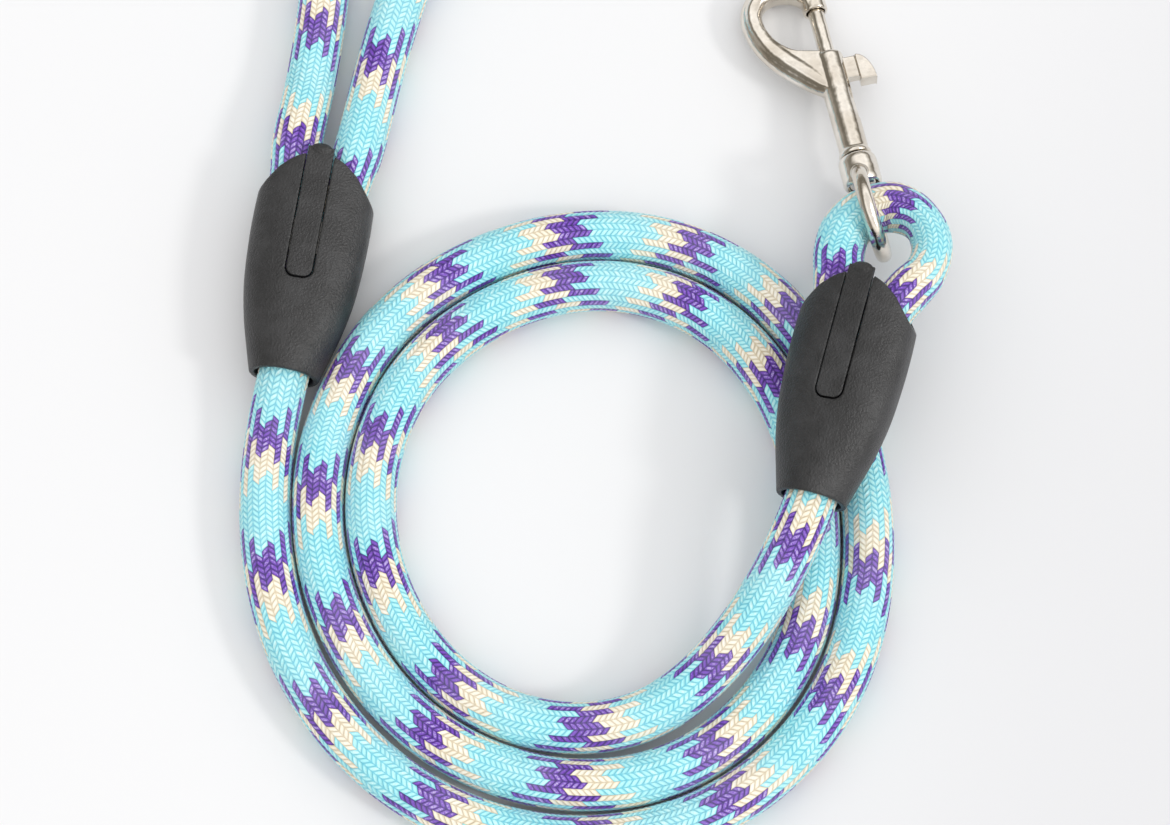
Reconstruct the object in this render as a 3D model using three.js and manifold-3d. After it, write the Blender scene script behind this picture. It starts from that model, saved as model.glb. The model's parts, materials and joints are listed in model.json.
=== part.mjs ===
// Rope lead: braided kernmantle rope with a hand loop, two moulded rope-end sleeves
// and a swivel bolt snap. Millimetres, +Z up, +Y towards the hand loop, floor at Z = 0.
// The lead lies coiled flat, as it is stored.
import * as THREE from "three";
import { mergeVertices } from "three/addons/utils/BufferGeometryUtils.js";
import Module from "manifold-3d";

const wasm = await Module();
wasm.setup();

// ---------------------------------------------------------------- rope dimensions
const ROPE_WIDTH = 12; // over the jacket, across the flats of its polygon
const JACKET_WALL = 1.5; // between the corner radii of its two polygons
const CORE_GAP = 0.3; // between the core and the jacket
const JACKET_SIDES = 8;
const CORE_SIDES = 6;

const JACKET_OUTER_RADIUS = ROPE_WIDTH / 2 / Math.cos(Math.PI / JACKET_SIDES);
const JACKET_INNER_RADIUS = JACKET_OUTER_RADIUS - JACKET_WALL;
const CORE_RADIUS = JACKET_INNER_RADIUS * Math.cos(Math.PI / JACKET_SIDES) - CORE_GAP;
const BALL_STRETCH = 0.99; // length of a core's ball end over its radius

// Spacing of rings along the rope.
const LONG_STEP = 10;
const HANDLE_STEP = 6.5;
const SNAP_STEP = 4.9;

// Stations along the rope, from the tail end inside the handle sleeve.
const TAIL_HINGE = 37.1; // hinge of the hand loop on the tail leg
const STANDING_HINGE = 448.5; // hinge of the hand loop on the standing leg
const HANDLE_BEND = 520.4; // hinge below the handle sleeve's mouth
const SNAP_BEND = 1490.3; // hinge before the snap sleeve's mouth

// The rope is cut this far past a hinge, so that the ball end can turn.
const BEND_CUT = { jacket: 4.2, core: 5.1 };
const LOOP_CUT = { jacket: 5.6, core: 6.4 }; // the hand loop lifts further
const CORE_INSET = 0.3; // core behind the jacket at the tail ends
const SNAP_TAIL_TRIM = 0.2; // jacket short of the centreline's end

// Shift of the layout that puts the origin under the middle of the lead's box.
const LAYOUT_SHIFT = [-2.642, -76.048, 0];

// Centreline of the rope, [x, y, z] one point every POINT_STEP: tail end in the handle sleeve,
// hand loop, handle sleeve, coil, snap sleeve, rope eye, tail end in the snap sleeve.
const POINT_STEP = 6;
const CENTRELINE = [
  [-71.99,33.03,9.55], [-70.84,38.91,9.21], [-70.17,44.87,9.16], [-69.77,50.86,9.20],
  [-69.45,56.85,9.12], [-68.98,62.82,8.74], [-68.21,68.71,7.92], [-67.22,74.55,6.92],
  [-66.20,80.41,6.15], [-65.28,86.33,6.00], [-64.46,92.28,6.00], [-63.76,98.24,6.00],
  [-63.18,104.21,6.00], [-62.75,110.20,6.03], [-62.45,116.19,6.08], [-62.28,122.19,6.11],
  [-62.24,128.19,6.10], [-62.33,134.19,6.08], [-62.54,140.19,6.04], [-62.87,146.18,6.01],
  [-63.32,152.17,6.00], [-63.88,158.14,6.00], [-64.54,164.11,6.00], [-65.24,170.07,6.00],
  [-65.96,176.03,6.00], [-66.64,181.99,6.00], [-67.23,187.96,6.00], [-67.70,193.94,6.02],
  [-67.99,199.94,6.03], [-68.06,205.94,6.03], [-67.87,211.94,6.03], [-67.32,217.91,6.01],
  [-66.30,223.82,6.00], [-64.66,229.59,6.00], [-62.30,235.11,6.00], [-59.19,240.23,6.00],
  [-55.27,244.77,6.00], [-50.54,248.45,6.01], [-45.13,251.01,6.00], [-39.30,252.40,6.00],
  [-33.31,252.56,6.00], [-27.43,251.44,6.00], [-21.91,249.11,6.00], [-16.96,245.73,6.01],
  [-12.77,241.45,6.00], [-9.46,236.45,6.00], [-7.02,230.98,6.00], [-5.44,225.19,6.00],
  [-4.71,219.24,6.00], [-4.75,213.24,6.00], [-5.41,207.28,6.02], [-6.54,201.39,6.04],
  [-8.00,195.56,6.04], [-9.71,189.81,6.03], [-11.64,184.13,6.01], [-13.75,178.51,6.00],
  [-16.01,172.95,6.00], [-18.37,167.43,6.00], [-20.80,161.95,6.00], [-23.27,156.48,6.00],
  [-25.75,151.01,6.00], [-28.20,145.53,6.00], [-30.60,140.03,6.02], [-32.95,134.51,6.06],
  [-35.24,128.96,6.10], [-37.44,123.38,6.13], [-39.56,117.77,6.13], [-41.58,112.11,6.10],
  [-43.49,106.42,6.03], [-45.27,100.69,6.00], [-46.92,94.92,6.00], [-48.45,89.12,6.00],
  [-49.85,83.28,6.00], [-51.13,77.43,6.17], [-52.30,71.61,7.06], [-53.50,65.83,8.13],
  [-54.96,60.06,8.87], [-56.64,54.30,9.07], [-58.11,48.49,9.10], [-59.14,42.58,9.23],
  [-60.08,36.65,9.42], [-61.44,30.81,9.56], [-63.47,25.17,9.64], [-66.14,19.80,9.81],
  [-68.82,14.44,10.05], [-70.29,8.64,9.84], [-71.57,2.91,8.61], [-72.76,-2.79,7.16],
  [-73.65,-8.65,6.24], [-74.19,-14.62,6.00], [-74.38,-20.61,6.00], [-74.22,-26.61,6.00],
  [-73.70,-32.59,6.05], [-72.81,-38.52,6.10], [-71.53,-44.39,6.10], [-69.83,-50.14,6.06],
  [-67.70,-55.75,6.02], [-65.12,-61.16,6.00], [-62.11,-66.36,6.00], [-58.70,-71.29,6.00],
  [-54.91,-75.94,6.00], [-50.77,-80.29,6.00], [-46.30,-84.29,6.00], [-41.52,-87.92,6.00],
  [-36.47,-91.15,6.00], [-31.16,-93.94,6.01], [-25.62,-96.26,6.02], [-19.91,-98.10,6.02],
  [-14.07,-99.44,6.02], [-8.13,-100.29,6.02], [-2.14,-100.64,6.01], [3.86,-100.49,6.01],
  [9.82,-99.82,6.00], [15.70,-98.63,6.00], [21.46,-96.93,6.00], [27.03,-94.70,6.00],
  [32.36,-91.96,6.00], [37.43,-88.75,6.00], [42.20,-85.10,6.00], [46.61,-81.04,6.00],
  [50.64,-76.60,6.00], [54.24,-71.79,6.00], [57.35,-66.66,6.01], [59.94,-61.25,6.01],
  [62.02,-55.63,6.01], [63.61,-49.84,6.01], [64.74,-43.95,6.00], [65.43,-37.99,6.00],
  [65.71,-31.99,6.00], [65.61,-25.99,6.00], [65.14,-20.01,6.00], [64.32,-14.07,6.00],
  [63.16,-8.18,6.00], [61.61,-2.38,6.00], [59.65,3.29,6.00], [57.25,8.79,6.00],
  [54.42,14.07,6.00], [51.13,19.10,6.00], [47.41,23.80,6.00], [43.26,28.13,6.00],
  [38.69,32.02,6.00], [33.72,35.37,6.00], [28.41,38.17,6.00], [22.84,40.39,6.00],
  [17.07,42.03,6.00], [11.16,43.05,6.00], [5.17,43.46,6.00], [-0.82,43.28,6.00],
  [-6.78,42.54,6.00], [-12.64,41.27,6.00], [-18.38,39.51,6.00], [-23.95,37.27,6.00],
  [-29.31,34.58,6.00], [-34.42,31.45,6.00], [-39.24,27.88,6.00], [-43.71,23.87,6.00],
  [-47.77,19.46,6.00], [-51.36,14.65,6.00], [-54.34,9.45,6.00], [-56.82,4.01,6.00],
  [-58.90,-1.60,6.00], [-60.58,-7.37,6.00], [-61.59,-13.28,6.00], [-62.08,-19.26,6.00],
  [-62.06,-25.26,6.00], [-61.52,-31.23,6.00], [-60.45,-37.14,6.00], [-58.86,-42.92,6.00],
  [-56.78,-48.55,6.00], [-54.21,-53.97,6.00], [-51.18,-59.15,6.00], [-47.70,-64.04,6.00],
  [-43.79,-68.59,6.00], [-39.47,-72.75,6.00], [-34.78,-76.48,6.00], [-29.73,-79.73,6.00],
  [-24.38,-82.44,6.00], [-18.79,-84.62,6.00], [-13.02,-86.25,6.00], [-7.11,-87.31,6.00],
  [-1.13,-87.77,6.00], [4.87,-87.62,6.00], [10.81,-86.81,6.00], [16.62,-85.32,6.00],
  [22.21,-83.14,6.00], [27.48,-80.28,6.00], [32.38,-76.82,6.00], [36.86,-72.83,6.00],
  [40.89,-68.39,6.00], [44.41,-63.53,6.00], [47.38,-58.32,6.00], [49.73,-52.80,6.00],
  [51.44,-47.05,6.00], [52.54,-41.15,6.00], [53.11,-35.18,6.00], [53.23,-29.18,6.00],
  [52.97,-23.19,6.00], [52.32,-17.22,6.00], [51.25,-11.32,6.00], [49.69,-5.52,6.00],
  [47.61,0.10,6.00], [44.99,5.50,6.00], [41.82,10.59,6.00], [38.11,15.31,6.00],
  [33.87,19.54,6.00], [29.11,23.20,6.00], [23.92,26.19,6.00], [18.38,28.48,6.00],
  [12.59,30.07,6.00], [6.65,30.90,6.00], [0.65,30.96,6.00], [-5.30,30.26,6.00],
  [-11.14,28.87,6.00], [-16.78,26.85,6.00], [-22.19,24.24,6.00], [-27.29,21.09,6.00],
  [-32.04,17.42,6.00], [-36.36,13.26,6.01], [-40.18,8.63,6.01], [-43.40,3.57,6.01],
  [-45.97,-1.85,6.00], [-47.88,-7.53,6.00], [-49.14,-13.40,6.00], [-49.74,-19.36,6.00],
  [-49.68,-25.36,6.00], [-48.98,-31.32,6.00], [-47.63,-37.16,6.00], [-45.65,-42.83,6.00],
  [-43.09,-48.25,6.00], [-39.97,-53.38,6.01], [-36.32,-58.13,6.02], [-32.15,-62.45,6.02],
  [-27.50,-66.24,6.02], [-22.42,-69.42,6.02], [-16.96,-71.90,6.00], [-11.21,-73.61,6.00],
  [-5.28,-74.52,6.00], [0.71,-74.63,6.09], [6.66,-73.90,6.34], [12.42,-72.30,6.80],
  [17.82,-69.81,7.54], [22.77,-66.59,8.55], [27.28,-62.84,9.82], [31.37,-58.72,11.34],
  [35.09,-54.36,13.13], [38.48,-49.83,15.11], [41.58,-45.09,17.10], [44.43,-40.12,18.89],
  [47.07,-34.92,20.27], [49.53,-29.51,21.09], [51.70,-23.93,21.45], [53.74,-18.29,21.68],
  [56.73,-13.13,22.23], [60.09,-8.19,22.88], [62.79,-2.86,23.30], [64.63,2.85,23.41],
  [66.22,8.63,23.46], [68.11,14.32,23.67], [70.83,19.64,24.03], [74.57,24.31,23.62],
  [78.60,28.85,22.45], [80.72,34.70,20.84], [79.95,40.70,18.92], [76.68,45.33,16.78],
  [71.56,47.56,15.16], [65.63,46.06,14.84], [61.25,41.63,15.52], [59.42,35.76,16.93],
  [59.14,29.91,18.52], [58.50,24.05,19.65], [57.54,18.15,20.08], [56.22,12.30,20.02],
  [54.70,6.49,19.86], [53.12,0.71,19.98],
].map((point) => new THREE.Vector3(...point));

const ROPE_LENGTH = POINT_STEP * (CENTRELINE.length - 1);
const centreCurve = new THREE.CatmullRomCurve3(CENTRELINE, false, "catmullrom", 0.5);

// Squeeze of the rope: [station, side factor, height factor, roll of the section in degrees].
const SQUEEZE = [
  [0, 0.84, 0.87, 0], [14.14, 0.84, 0.87, 0], [25.14, 0.92, 0.95, 0], [32.14, 1, 1, 0],
  [453.21, 1, 1, 0], [460.21, 0.92, 0.95, 0], [471.21, 0.84, 0.87, 0],
  [487.21, 0.84, 0.87, 0], [498.21, 0.9, 0.95, 0], [506.21, 1, 1, 0],
  [1499.48, 1, 1, 0], [1504.48, 1, 1, 8], [1512.48, 0.9, 0.95, 18],
  [1523.48, 0.84, 0.87, 18], [1540.48, 0.84, 0.87, 18], [1545.48, 0.88, 0.95, 14],
  [1553.48, 0.9, 1, 8], [1563.48, 0.8, 1.02, 0], [1572.48, 0.8, 1.02, 0],
  [1583.48, 1, 1, 0], [1597.38, 1, 1, 0], [1607.38, 1, 1, -10],
  [1613.38, 0.93, 0.95, -18], [1623.38, 0.84, 0.87, -18], [1640.41, 0.84, 0.87, -18],
];

// ---------------------------------------------------------------- solids
function toSolid(geometry) {
  geometry.deleteAttribute("normal");
  geometry.deleteAttribute("uv");
  const merged = mergeVertices(geometry, 1e-4);
  const position = merged.attributes.position;
  const triangles = new Uint32Array(merged.index.array);
  const corners = [new THREE.Vector3(), new THREE.Vector3(), new THREE.Vector3()];
  let sixVolumes = 0;
  for (let i = 0; i < triangles.length; i += 3) {
    corners.forEach((corner, k) => corner.fromBufferAttribute(position, triangles[i + k]));
    sixVolumes += corners[0].dot(corners[1].cross(corners[2]));
  }
  // A negative volume means the faces point inwards, so each triangle is turned over.
  if (sixVolumes < 0) {
    for (let i = 0; i < triangles.length; i += 3) {
      [triangles[i + 1], triangles[i + 2]] = [triangles[i + 2], triangles[i + 1]];
    }
  }
  const vertProperties = new Float32Array(position.array);
  return new wasm.Manifold(new wasm.Mesh({ numProp: 3, vertProperties, triVerts: triangles }));
}

function toGeometry(solid) {
  const { numProp, numVert, vertProperties, triVerts } = solid.getMesh();
  const positions = new Float32Array(numVert * 3);
  for (let i = 0; i < numVert; i++) {
    positions.set(vertProperties.subarray(i * numProp, i * numProp + 3), i * 3);
  }
  const geometry = new THREE.BufferGeometry();
  geometry.setAttribute("position", new THREE.BufferAttribute(positions, 3));
  geometry.setIndex(new THREE.BufferAttribute(new Uint32Array(triVerts), 1));
  geometry.computeVertexNormals();
  return geometry;
}

const toPoints = (pairs) => pairs.map(([x, y]) => new THREE.Vector2(x, y));
const toShape = (pairs) => new THREE.Shape(toPoints(pairs));

// Ranges are [low, high] along each axis.
const middle = ([low, high]) => (low + high) / 2;
const span = ([low, high]) => high - low;

const box = (xs, ys, zs) => toSolid(
  new THREE.BoxGeometry(span(xs), span(ys), span(zs))
    .translate(middle(xs), middle(ys), middle(zs)));

const cylinderX = (radius, xs, y) => toSolid(
  new THREE.CylinderGeometry(radius, radius, span(xs), 12)
    .rotateZ(Math.PI / 2).translate(middle(xs), y, 0));

const cylinderY = (radius, ys) => toSolid(
  new THREE.CylinderGeometry(radius, radius, span(ys), 20).translate(0, middle(ys), 0));

const cylinderZ = (radius, y, zs) => toSolid(
  new THREE.CylinderGeometry(radius, radius, span(zs), 20)
    .rotateX(Math.PI / 2).translate(0, y, middle(zs)));

const plate = (outline, zs) => toSolid(
  new THREE.ExtrudeGeometry(toShape(outline), { depth: span(zs), bevelEnabled: false })
    .translate(0, 0, zs[0]));

// A solid turned about Y from [radius, y] pairs.
const turned = (profile, sides) => toSolid(new THREE.LatheGeometry(toPoints(profile), sides));

// A column of a table at x, eased between the rows; column 0 holds the rows' places.
function easedValue(table, x, column) {
  const next = table.findIndex((row) => x <= row[0]);
  if (next === 0) return table[0][column];
  if (next < 0) return table[table.length - 1][column];
  const low = table[next - 1];
  const high = table[next];
  const t = (x - low[0]) / (high[0] - low[0]);
  return low[column] + t * t * (3 - 2 * t) * (high[column] - low[column]);
}

// A body of superellipse sections along Y: rows of [y, half width, half thickness, exponent].
function loft(rows, sides, steps) {
  const start = rows[0][0];
  const length = rows[rows.length - 1][0] - start;
  const geometry = new THREE.CylinderGeometry(1, 1, 1, sides, steps, false);
  const position = geometry.attributes.position;
  for (let i = 0; i < position.count; i++) {
    const y = start + (position.getY(i) + 0.5) * length;
    const radius = Math.hypot(position.getX(i), position.getZ(i));
    if (radius < 1e-9) {
      position.setXYZ(i, 0, y, 0);
      continue;
    }
    const [halfWidth, halfThickness, exponent] = [1, 2, 3].map((k) => easedValue(rows, y, k));
    const x = position.getX(i) / radius;
    const z = position.getZ(i) / radius;
    const powers = Math.pow(Math.abs(x), exponent) + Math.pow(Math.abs(z), exponent);
    const reach = Math.pow(powers, -1 / exponent);
    position.setXYZ(i, radius * halfWidth * x * reach, y, radius * halfThickness * z * reach);
  }
  return toSolid(geometry);
}

// ---------------------------------------------------------------- rope
const UP = new THREE.Vector3(0, 0, 1);

// The two axes across a direction, sideways and upwards, rolled about it.
function crossAxes(along, rollDegrees) {
  const level = along.clone().cross(UP).normalize();
  const upright = level.clone().cross(along);
  const roll = THREE.MathUtils.degToRad(rollDegrees);
  const cos = Math.cos(roll);
  const sin = Math.sin(roll);
  return {
    side: level.clone().multiplyScalar(cos).addScaledVector(upright, sin),
    up: upright.clone().multiplyScalar(cos).addScaledVector(level, -sin),
  };
}

// Centre and cross axes of the rope at a station, the axes scaled by the squeeze there.
function ropeSection(station) {
  const t = THREE.MathUtils.clamp(station / ROPE_LENGTH, 0, 1);
  const centre = centreCurve.getPoint(t);
  centre.z = Math.max(centre.z, ROPE_WIDTH / 2); // the lowest stretches rest on the floor
  const [sideFactor, upFactor, roll] = [1, 2, 3].map((k) => easedValue(SQUEEZE, station, k));
  const axes = crossAxes(centreCurve.getTangent(t).normalize(), roll);
  return { centre, ...axes, sideFactor, upFactor };
}

// A lathed profile of [radius, station] pairs whose height runs along the rope's centreline.
function alongRope(profile, sides) {
  const geometry = new THREE.LatheGeometry(toPoints(profile), sides, Math.PI / sides);
  const position = geometry.attributes.position;
  const sections = new Map();
  for (let i = 0; i < position.count; i++) {
    const station = position.getY(i);
    if (!sections.has(station)) sections.set(station, ropeSection(station));
    const { centre, side, up, sideFactor, upFactor } = sections.get(station);
    const point = centre.clone()
      .addScaledVector(side, position.getX(i) * sideFactor)
      .addScaledVector(up, position.getZ(i) * upFactor);
    position.setXYZ(i, point.x, point.y, point.z);
  }
  return geometry;
}

// A wall of one radius along a stretch, with rings about one step apart.
function ropeWall(radius, [start, end], step) {
  const count = Math.max(1, Math.round((end - start) / step));
  return Array.from({ length: count + 1 }, (_, i) =>
    [radius, start + ((end - start) * i) / count]);
}

function jacket(stretch, step) {
  const outside = ropeWall(JACKET_OUTER_RADIUS, stretch, step);
  const inside = ropeWall(JACKET_INNER_RADIUS, stretch, step).reverse();
  return alongRope([...outside, ...inside, outside[0]], JACKET_SIDES);
}

// End of a core from its pole to its rim: flat, or a half ball centred on the hinge.
function coreEnd(station, isBall, outward) {
  if (!isBall) return [[0, station]];
  const bulge = outward * CORE_RADIUS * BALL_STRETCH;
  const rings = [Math.PI / 3, Math.PI / 6].map((angle) =>
    [CORE_RADIUS * Math.cos(angle), station + bulge * Math.sin(angle)]);
  return [[0, station + bulge], ...rings];
}

function core(stretch, step, [startBall, endBall]) {
  return alongRope([
    ...coreEnd(stretch[0], startBall, -1),
    ...ropeWall(CORE_RADIUS, stretch, step),
    ...coreEnd(stretch[1], endBall, 1).reverse(),
  ], CORE_SIDES);
}

const SNAP_TAIL_END = ROPE_LENGTH - SNAP_TAIL_TRIM;

// Lengths of rope; balls tells which ends of the core, start and end, are rounded.
const ROPE_PIECES = [
  {
    name: "coil", step: LONG_STEP, balls: [false, false],
    jacket: [HANDLE_BEND + BEND_CUT.jacket, SNAP_BEND - BEND_CUT.jacket],
    core: [HANDLE_BEND + BEND_CUT.core, SNAP_BEND - BEND_CUT.core],
  },
  {
    name: "handle_end", step: HANDLE_STEP, balls: [false, true],
    jacket: [STANDING_HINGE + LOOP_CUT.jacket, HANDLE_BEND],
    core: [STANDING_HINGE + LOOP_CUT.core, HANDLE_BEND],
  },
  {
    name: "handle_tail", step: HANDLE_STEP, balls: [false, false],
    jacket: [0, TAIL_HINGE - LOOP_CUT.jacket],
    core: [CORE_INSET, TAIL_HINGE - LOOP_CUT.core],
  },
  {
    name: "handle_loop", step: LONG_STEP, balls: [true, true],
    jacket: [TAIL_HINGE, STANDING_HINGE],
    core: [TAIL_HINGE, STANDING_HINGE],
  },
  {
    name: "snap_end", step: SNAP_STEP, balls: [true, false],
    jacket: [SNAP_BEND, SNAP_TAIL_END],
    core: [SNAP_BEND, SNAP_TAIL_END - CORE_INSET],
  },
];

// ---------------------------------------------------------------- sleeve
// In its own frame: mouth at y = 0, width along X, length along Y, face up along Z.
const SLEEVE_HALF_WIDTH = 13.9; // at its widest
const SLEEVE_HALF_THICKNESS = 8.4;
const PASSAGE_GAP = 0.45; // around the rope where it passes through the sleeve
const PASSAGE_STEP = 4.9;

const KEY_WIDTH = 6;
const KEY_SLOT_WIDTH = 6.7;
const KEY_START = 25.6; // centre of the round end nearest the mouth
const KEY_ZS = [7.15, 8.85];
const KEY_SLOT_ZS = [4.5, 12];

const BAND_WALL = 0.7;
const BAND_INNER_RADIUS = 5.85;
const BAND_END_OFFSET = 5.5; // centre of each round end, from the middle
const BAND_START = 29;
const BAND_LENGTH = 8;

// [y, half width, half thickness, exponent]
const SLEEVE_OUTSIDE = [
  [0, 8.3, 8.2, 2], [4, 9.3, 8.25, 2.1], [12, 11.4, 8.3, 2.3], [20, 12.95, 8.35, 2.5],
  [30, 13.85, SLEEVE_HALF_THICKNESS, 2.6], [41, SLEEVE_HALF_WIDTH, SLEEVE_HALF_THICKNESS, 2.6],
  [46, 13.5, 8.35, 2.6], [52, 12.6, 8.2, 2.6], [58, 11.6, 8.0, 2.6],
];
const SLEEVE_CAVITY = [
  [-1, 6.9, 6.9, 2], [6, 7.2, 6.8, 2], [14, 9.7, 6.8, 2.4], [21, 11.5, 6.85, 3],
  [27, 12.35, 6.9, 3], [44, 12.5, 6.9, 3], [51, 13.2, 6.9, 3], [60, 13.8, 7.0, 3],
];
// Half of the waste beyond the sleeve's peaked end, [x, y]; mirrored for the other half.
const PEAK_WASTE = [
  [20, 43.6], [13.7, 43.6], [9.1, 49.4], [2.9, 52.9], [0, 53.1], [0, 70], [20, 70],
];

// A bar on the middle line that starts with a round end.
function roundStartBar(width, end, zs) {
  const half = width / 2;
  return [box([-half, half], [KEY_START, end], zs), cylinderZ(half, KEY_START, zs)];
}

// passages: stretches of rope, by station, that the cavity follows with a small gap.
function sleeve(frame, passages) {
  let body = loft(SLEEVE_OUTSIDE, 28, 9).subtract(loft(SLEEVE_CAVITY, 20, 8));
  frame.updateMatrix();
  const toFrame = frame.matrix.clone().invert();
  for (const stretch of passages) {
    const wall = ropeWall(JACKET_OUTER_RADIUS + PASSAGE_GAP, stretch, PASSAGE_STEP);
    const passage = alongRope([[0, stretch[0]], ...wall, [0, stretch[1]]], JACKET_SIDES);
    body = body.subtract(toSolid(passage.applyMatrix4(toFrame)));
  }
  for (const side of [-1, 1]) {
    body = body.subtract(plate(PEAK_WASTE.map(([x, y]) => [side * x, y]), [-12, 12]));
  }
  for (const cutter of roundStartBar(KEY_SLOT_WIDTH, 60, KEY_SLOT_ZS)) {
    body = body.subtract(cutter);
  }
  return toGeometry(body);
}

function sleeveKey() {
  const [bar, roundEnd] = roundStartBar(KEY_WIDTH, 54.2, KEY_ZS);
  const head = box([-2.5, 2.5], [53, 56], KEY_ZS); // narrower head past the peak
  const web = box([-0.65, 0.65], [49.5, 55.4], [-6.4, 7.3]); // between the rope's two legs
  return toGeometry(bar.add(roundEnd).add(head).add(web));
}

function obround(radius) {
  const outline = [];
  const ends = [[BAND_END_OFFSET, -Math.PI / 2], [-BAND_END_OFFSET, Math.PI / 2]];
  for (const [centre, startAngle] of ends) {
    for (let i = 0; i <= 8; i++) {
      const angle = startAngle + (Math.PI * i) / 8;
      outline.push([centre + radius * Math.cos(angle), radius * Math.sin(angle)]);
    }
  }
  return outline;
}

function crimpBand() {
  const shape = toShape(obround(BAND_INNER_RADIUS + BAND_WALL));
  shape.holes.push(new THREE.Path(toPoints(obround(BAND_INNER_RADIUS).reverse())));
  return new THREE.ExtrudeGeometry(shape, { depth: BAND_LENGTH, bevelEnabled: false })
    .rotateX(-Math.PI / 2).translate(0, BAND_START, 0);
}

// ---------------------------------------------------------------- bolt snap
// In its own frame: outer end of the swivel eye at y = 0, hook in the XY plane, length along Y.
const EYE_RADIUS = 10.1; // centreline
const EYE_WIRE_RADIUS = 1.9;
const EYE_LEAN = 0.2; // turn of the eye about the snap's axis at rest, in radians
const BOSS_RADIUS = 4.65;
const STEM_RADIUS = 2;
const STEM_GAP = 0.35;
const HEAD_RADIUS = 3.3; // riveted head of the stem
const HEAD_GAP = 0.4;
const BARREL_RADIUS = 3.55;
const BORE_RADIUS = 2.35;
const BOLT_RADIUS = 1.95;
const HOOK_THICKNESS = 6;
const HOOK_BEVEL = { thickness: 1.2, size: 1 };
const KNOB_PIN_Y = 50.8;
const KNOB_PIN_RADIUS = 0.85;
const KNOB_HOLE_RADIUS = 1.2;

// Turned profiles, [radius, y].
const BOSS = [
  [0, 19.3], [4.1, 19.3], [BOSS_RADIUS, 20.1], [BOSS_RADIUS, 25.6], [4.2, 27], [0, 27],
];
const STEM_AND_BARREL = [
  [0, 19.5], [HEAD_RADIUS - 0.5, 19.5], [HEAD_RADIUS, 20], [HEAD_RADIUS, 20.85],
  [STEM_RADIUS, 20.85], [STEM_RADIUS, 27.4], [3.9, 27.4], [3.9, 28.4],
  [BARREL_RADIUS, 28.9], [BARREL_RADIUS, 55.4], [BARREL_RADIUS - 0.4, 55.8], [0, 55.8],
];
const BOLT = [
  [0, 46.6], [1.6, 46.6], [BOLT_RADIUS, 47], [BOLT_RADIUS, 69.6], [1.4, 70.3], [0, 70.5],
];
// Outline of the hook, [x, y].
const HOOK = [
  [-2.4, 44.6], [-3.7, 46.3], [-7.6, 49.8], [-11.6, 53.8], [-15.6, 59.9], [-17.5, 65],
  [-18.0, 69], [-17.0, 73], [-14.2, 76.3], [-10, 78.1], [-5.5, 78.0], [-1.5, 76.2],
  [1.6, 73.4], [2.9, 70.8], [2.9, 68.2], [-2.6, 68.2], [-3.4, 70.4], [-5.5, 72.0],
  [-8.0, 72.7], [-10.6, 72.0], [-12.6, 70.1], [-13.3, 67.5], [-13.2, 64.9], [-12.1, 62.1],
  [-10.6, 60.1], [-8.8, 58.5], [-7.1, 57.6], [2.6, 55.4], [2.6, 52],
];

function swivelEye() {
  const ring = new THREE.TorusGeometry(EYE_RADIUS, EYE_WIRE_RADIUS, 8, 26)
    .rotateY(Math.PI / 2 - EYE_LEAN).translate(0, EYE_RADIUS + EYE_WIRE_RADIUS, 0);
  return toGeometry(toSolid(ring)
    .add(turned(BOSS, 20))
    .subtract(cylinderY(STEM_RADIUS + STEM_GAP, [10, 31]))
    .subtract(cylinderY(HEAD_RADIUS + HEAD_GAP, [12, 21.2])));
}

function snapBody() {
  const hook = new THREE.ExtrudeGeometry(toShape(HOOK), {
    depth: HOOK_THICKNESS - 2 * HOOK_BEVEL.thickness,
    bevelEnabled: true,
    bevelThickness: HOOK_BEVEL.thickness,
    bevelSize: HOOK_BEVEL.size,
    bevelOffset: -HOOK_BEVEL.size,
    bevelSegments: 2,
  }).translate(0, 0, -HOOK_THICKNESS / 2 + HOOK_BEVEL.thickness);
  return toGeometry(toSolid(hook)
    .add(turned(STEM_AND_BARREL, 20))
    .subtract(cylinderY(BORE_RADIUS, [32.8, 62])) // bore for the bolt and its spring
    .subtract(cylinderY(BORE_RADIUS, [67.5, 71])) // socket in the hook's tip
    .subtract(box([1, 6], [37.2, 54.2], [-1.6, 1.6]))); // slot for the thumb knob
}

function snapBolt() {
  const pinHole = cylinderX(KNOB_HOLE_RADIUS, [-0.9, 4], KNOB_PIN_Y);
  return toGeometry(turned(BOLT, 18).subtract(pinHole));
}

function thumbKnob() {
  const root = 6.1; // x of the grip's straight side
  const outline = [[root, 45.2], [9.6, 45.2]];
  for (let i = 0; i <= 6; i++) {
    const angle = (i / 6) * (Math.PI / 2);
    outline.push([root + 3.9 * Math.cos(angle), 46.5 + 7.5 * Math.sin(angle)]);
  }
  return toGeometry(plate(outline, [-2.4, 2.4])
    .add(box([2.4, 6.3], [47.8, 53.7], [-1.25, 1.25])) // neck through the slot
    .add(cylinderX(KNOB_PIN_RADIUS, [-0.5, 2.6], KNOB_PIN_Y)));
}

const SPRING = { radius: 1.62, wireRadius: 0.33, wireSides: 5, ys: [33.55, 45.9], turns: 5 };

class SpringHelix extends THREE.Curve {
  getPoint(t, target = new THREE.Vector3()) {
    const { radius, ys, turns } = SPRING;
    const angle = 2 * Math.PI * turns * t;
    return target.set(radius * Math.cos(angle), ys[0] + span(ys) * t, radius * Math.sin(angle));
  }
}

function boltSpring() {
  const { wireRadius, wireSides } = SPRING;
  const section = Array.from({ length: wireSides }, (_, i) => {
    const angle = (2 * Math.PI * i) / wireSides;
    return [wireRadius * Math.cos(angle), wireRadius * Math.sin(angle)];
  });
  return new THREE.ExtrudeGeometry(toShape(section), {
    steps: 50, bevelEnabled: false, extrudePath: new SpringHelix(),
  });
}

// ---------------------------------------------------------------- materials
const standard = (color, roughness, metalness) => () =>
  new THREE.MeshStandardMaterial({ color, roughness, metalness });

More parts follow.
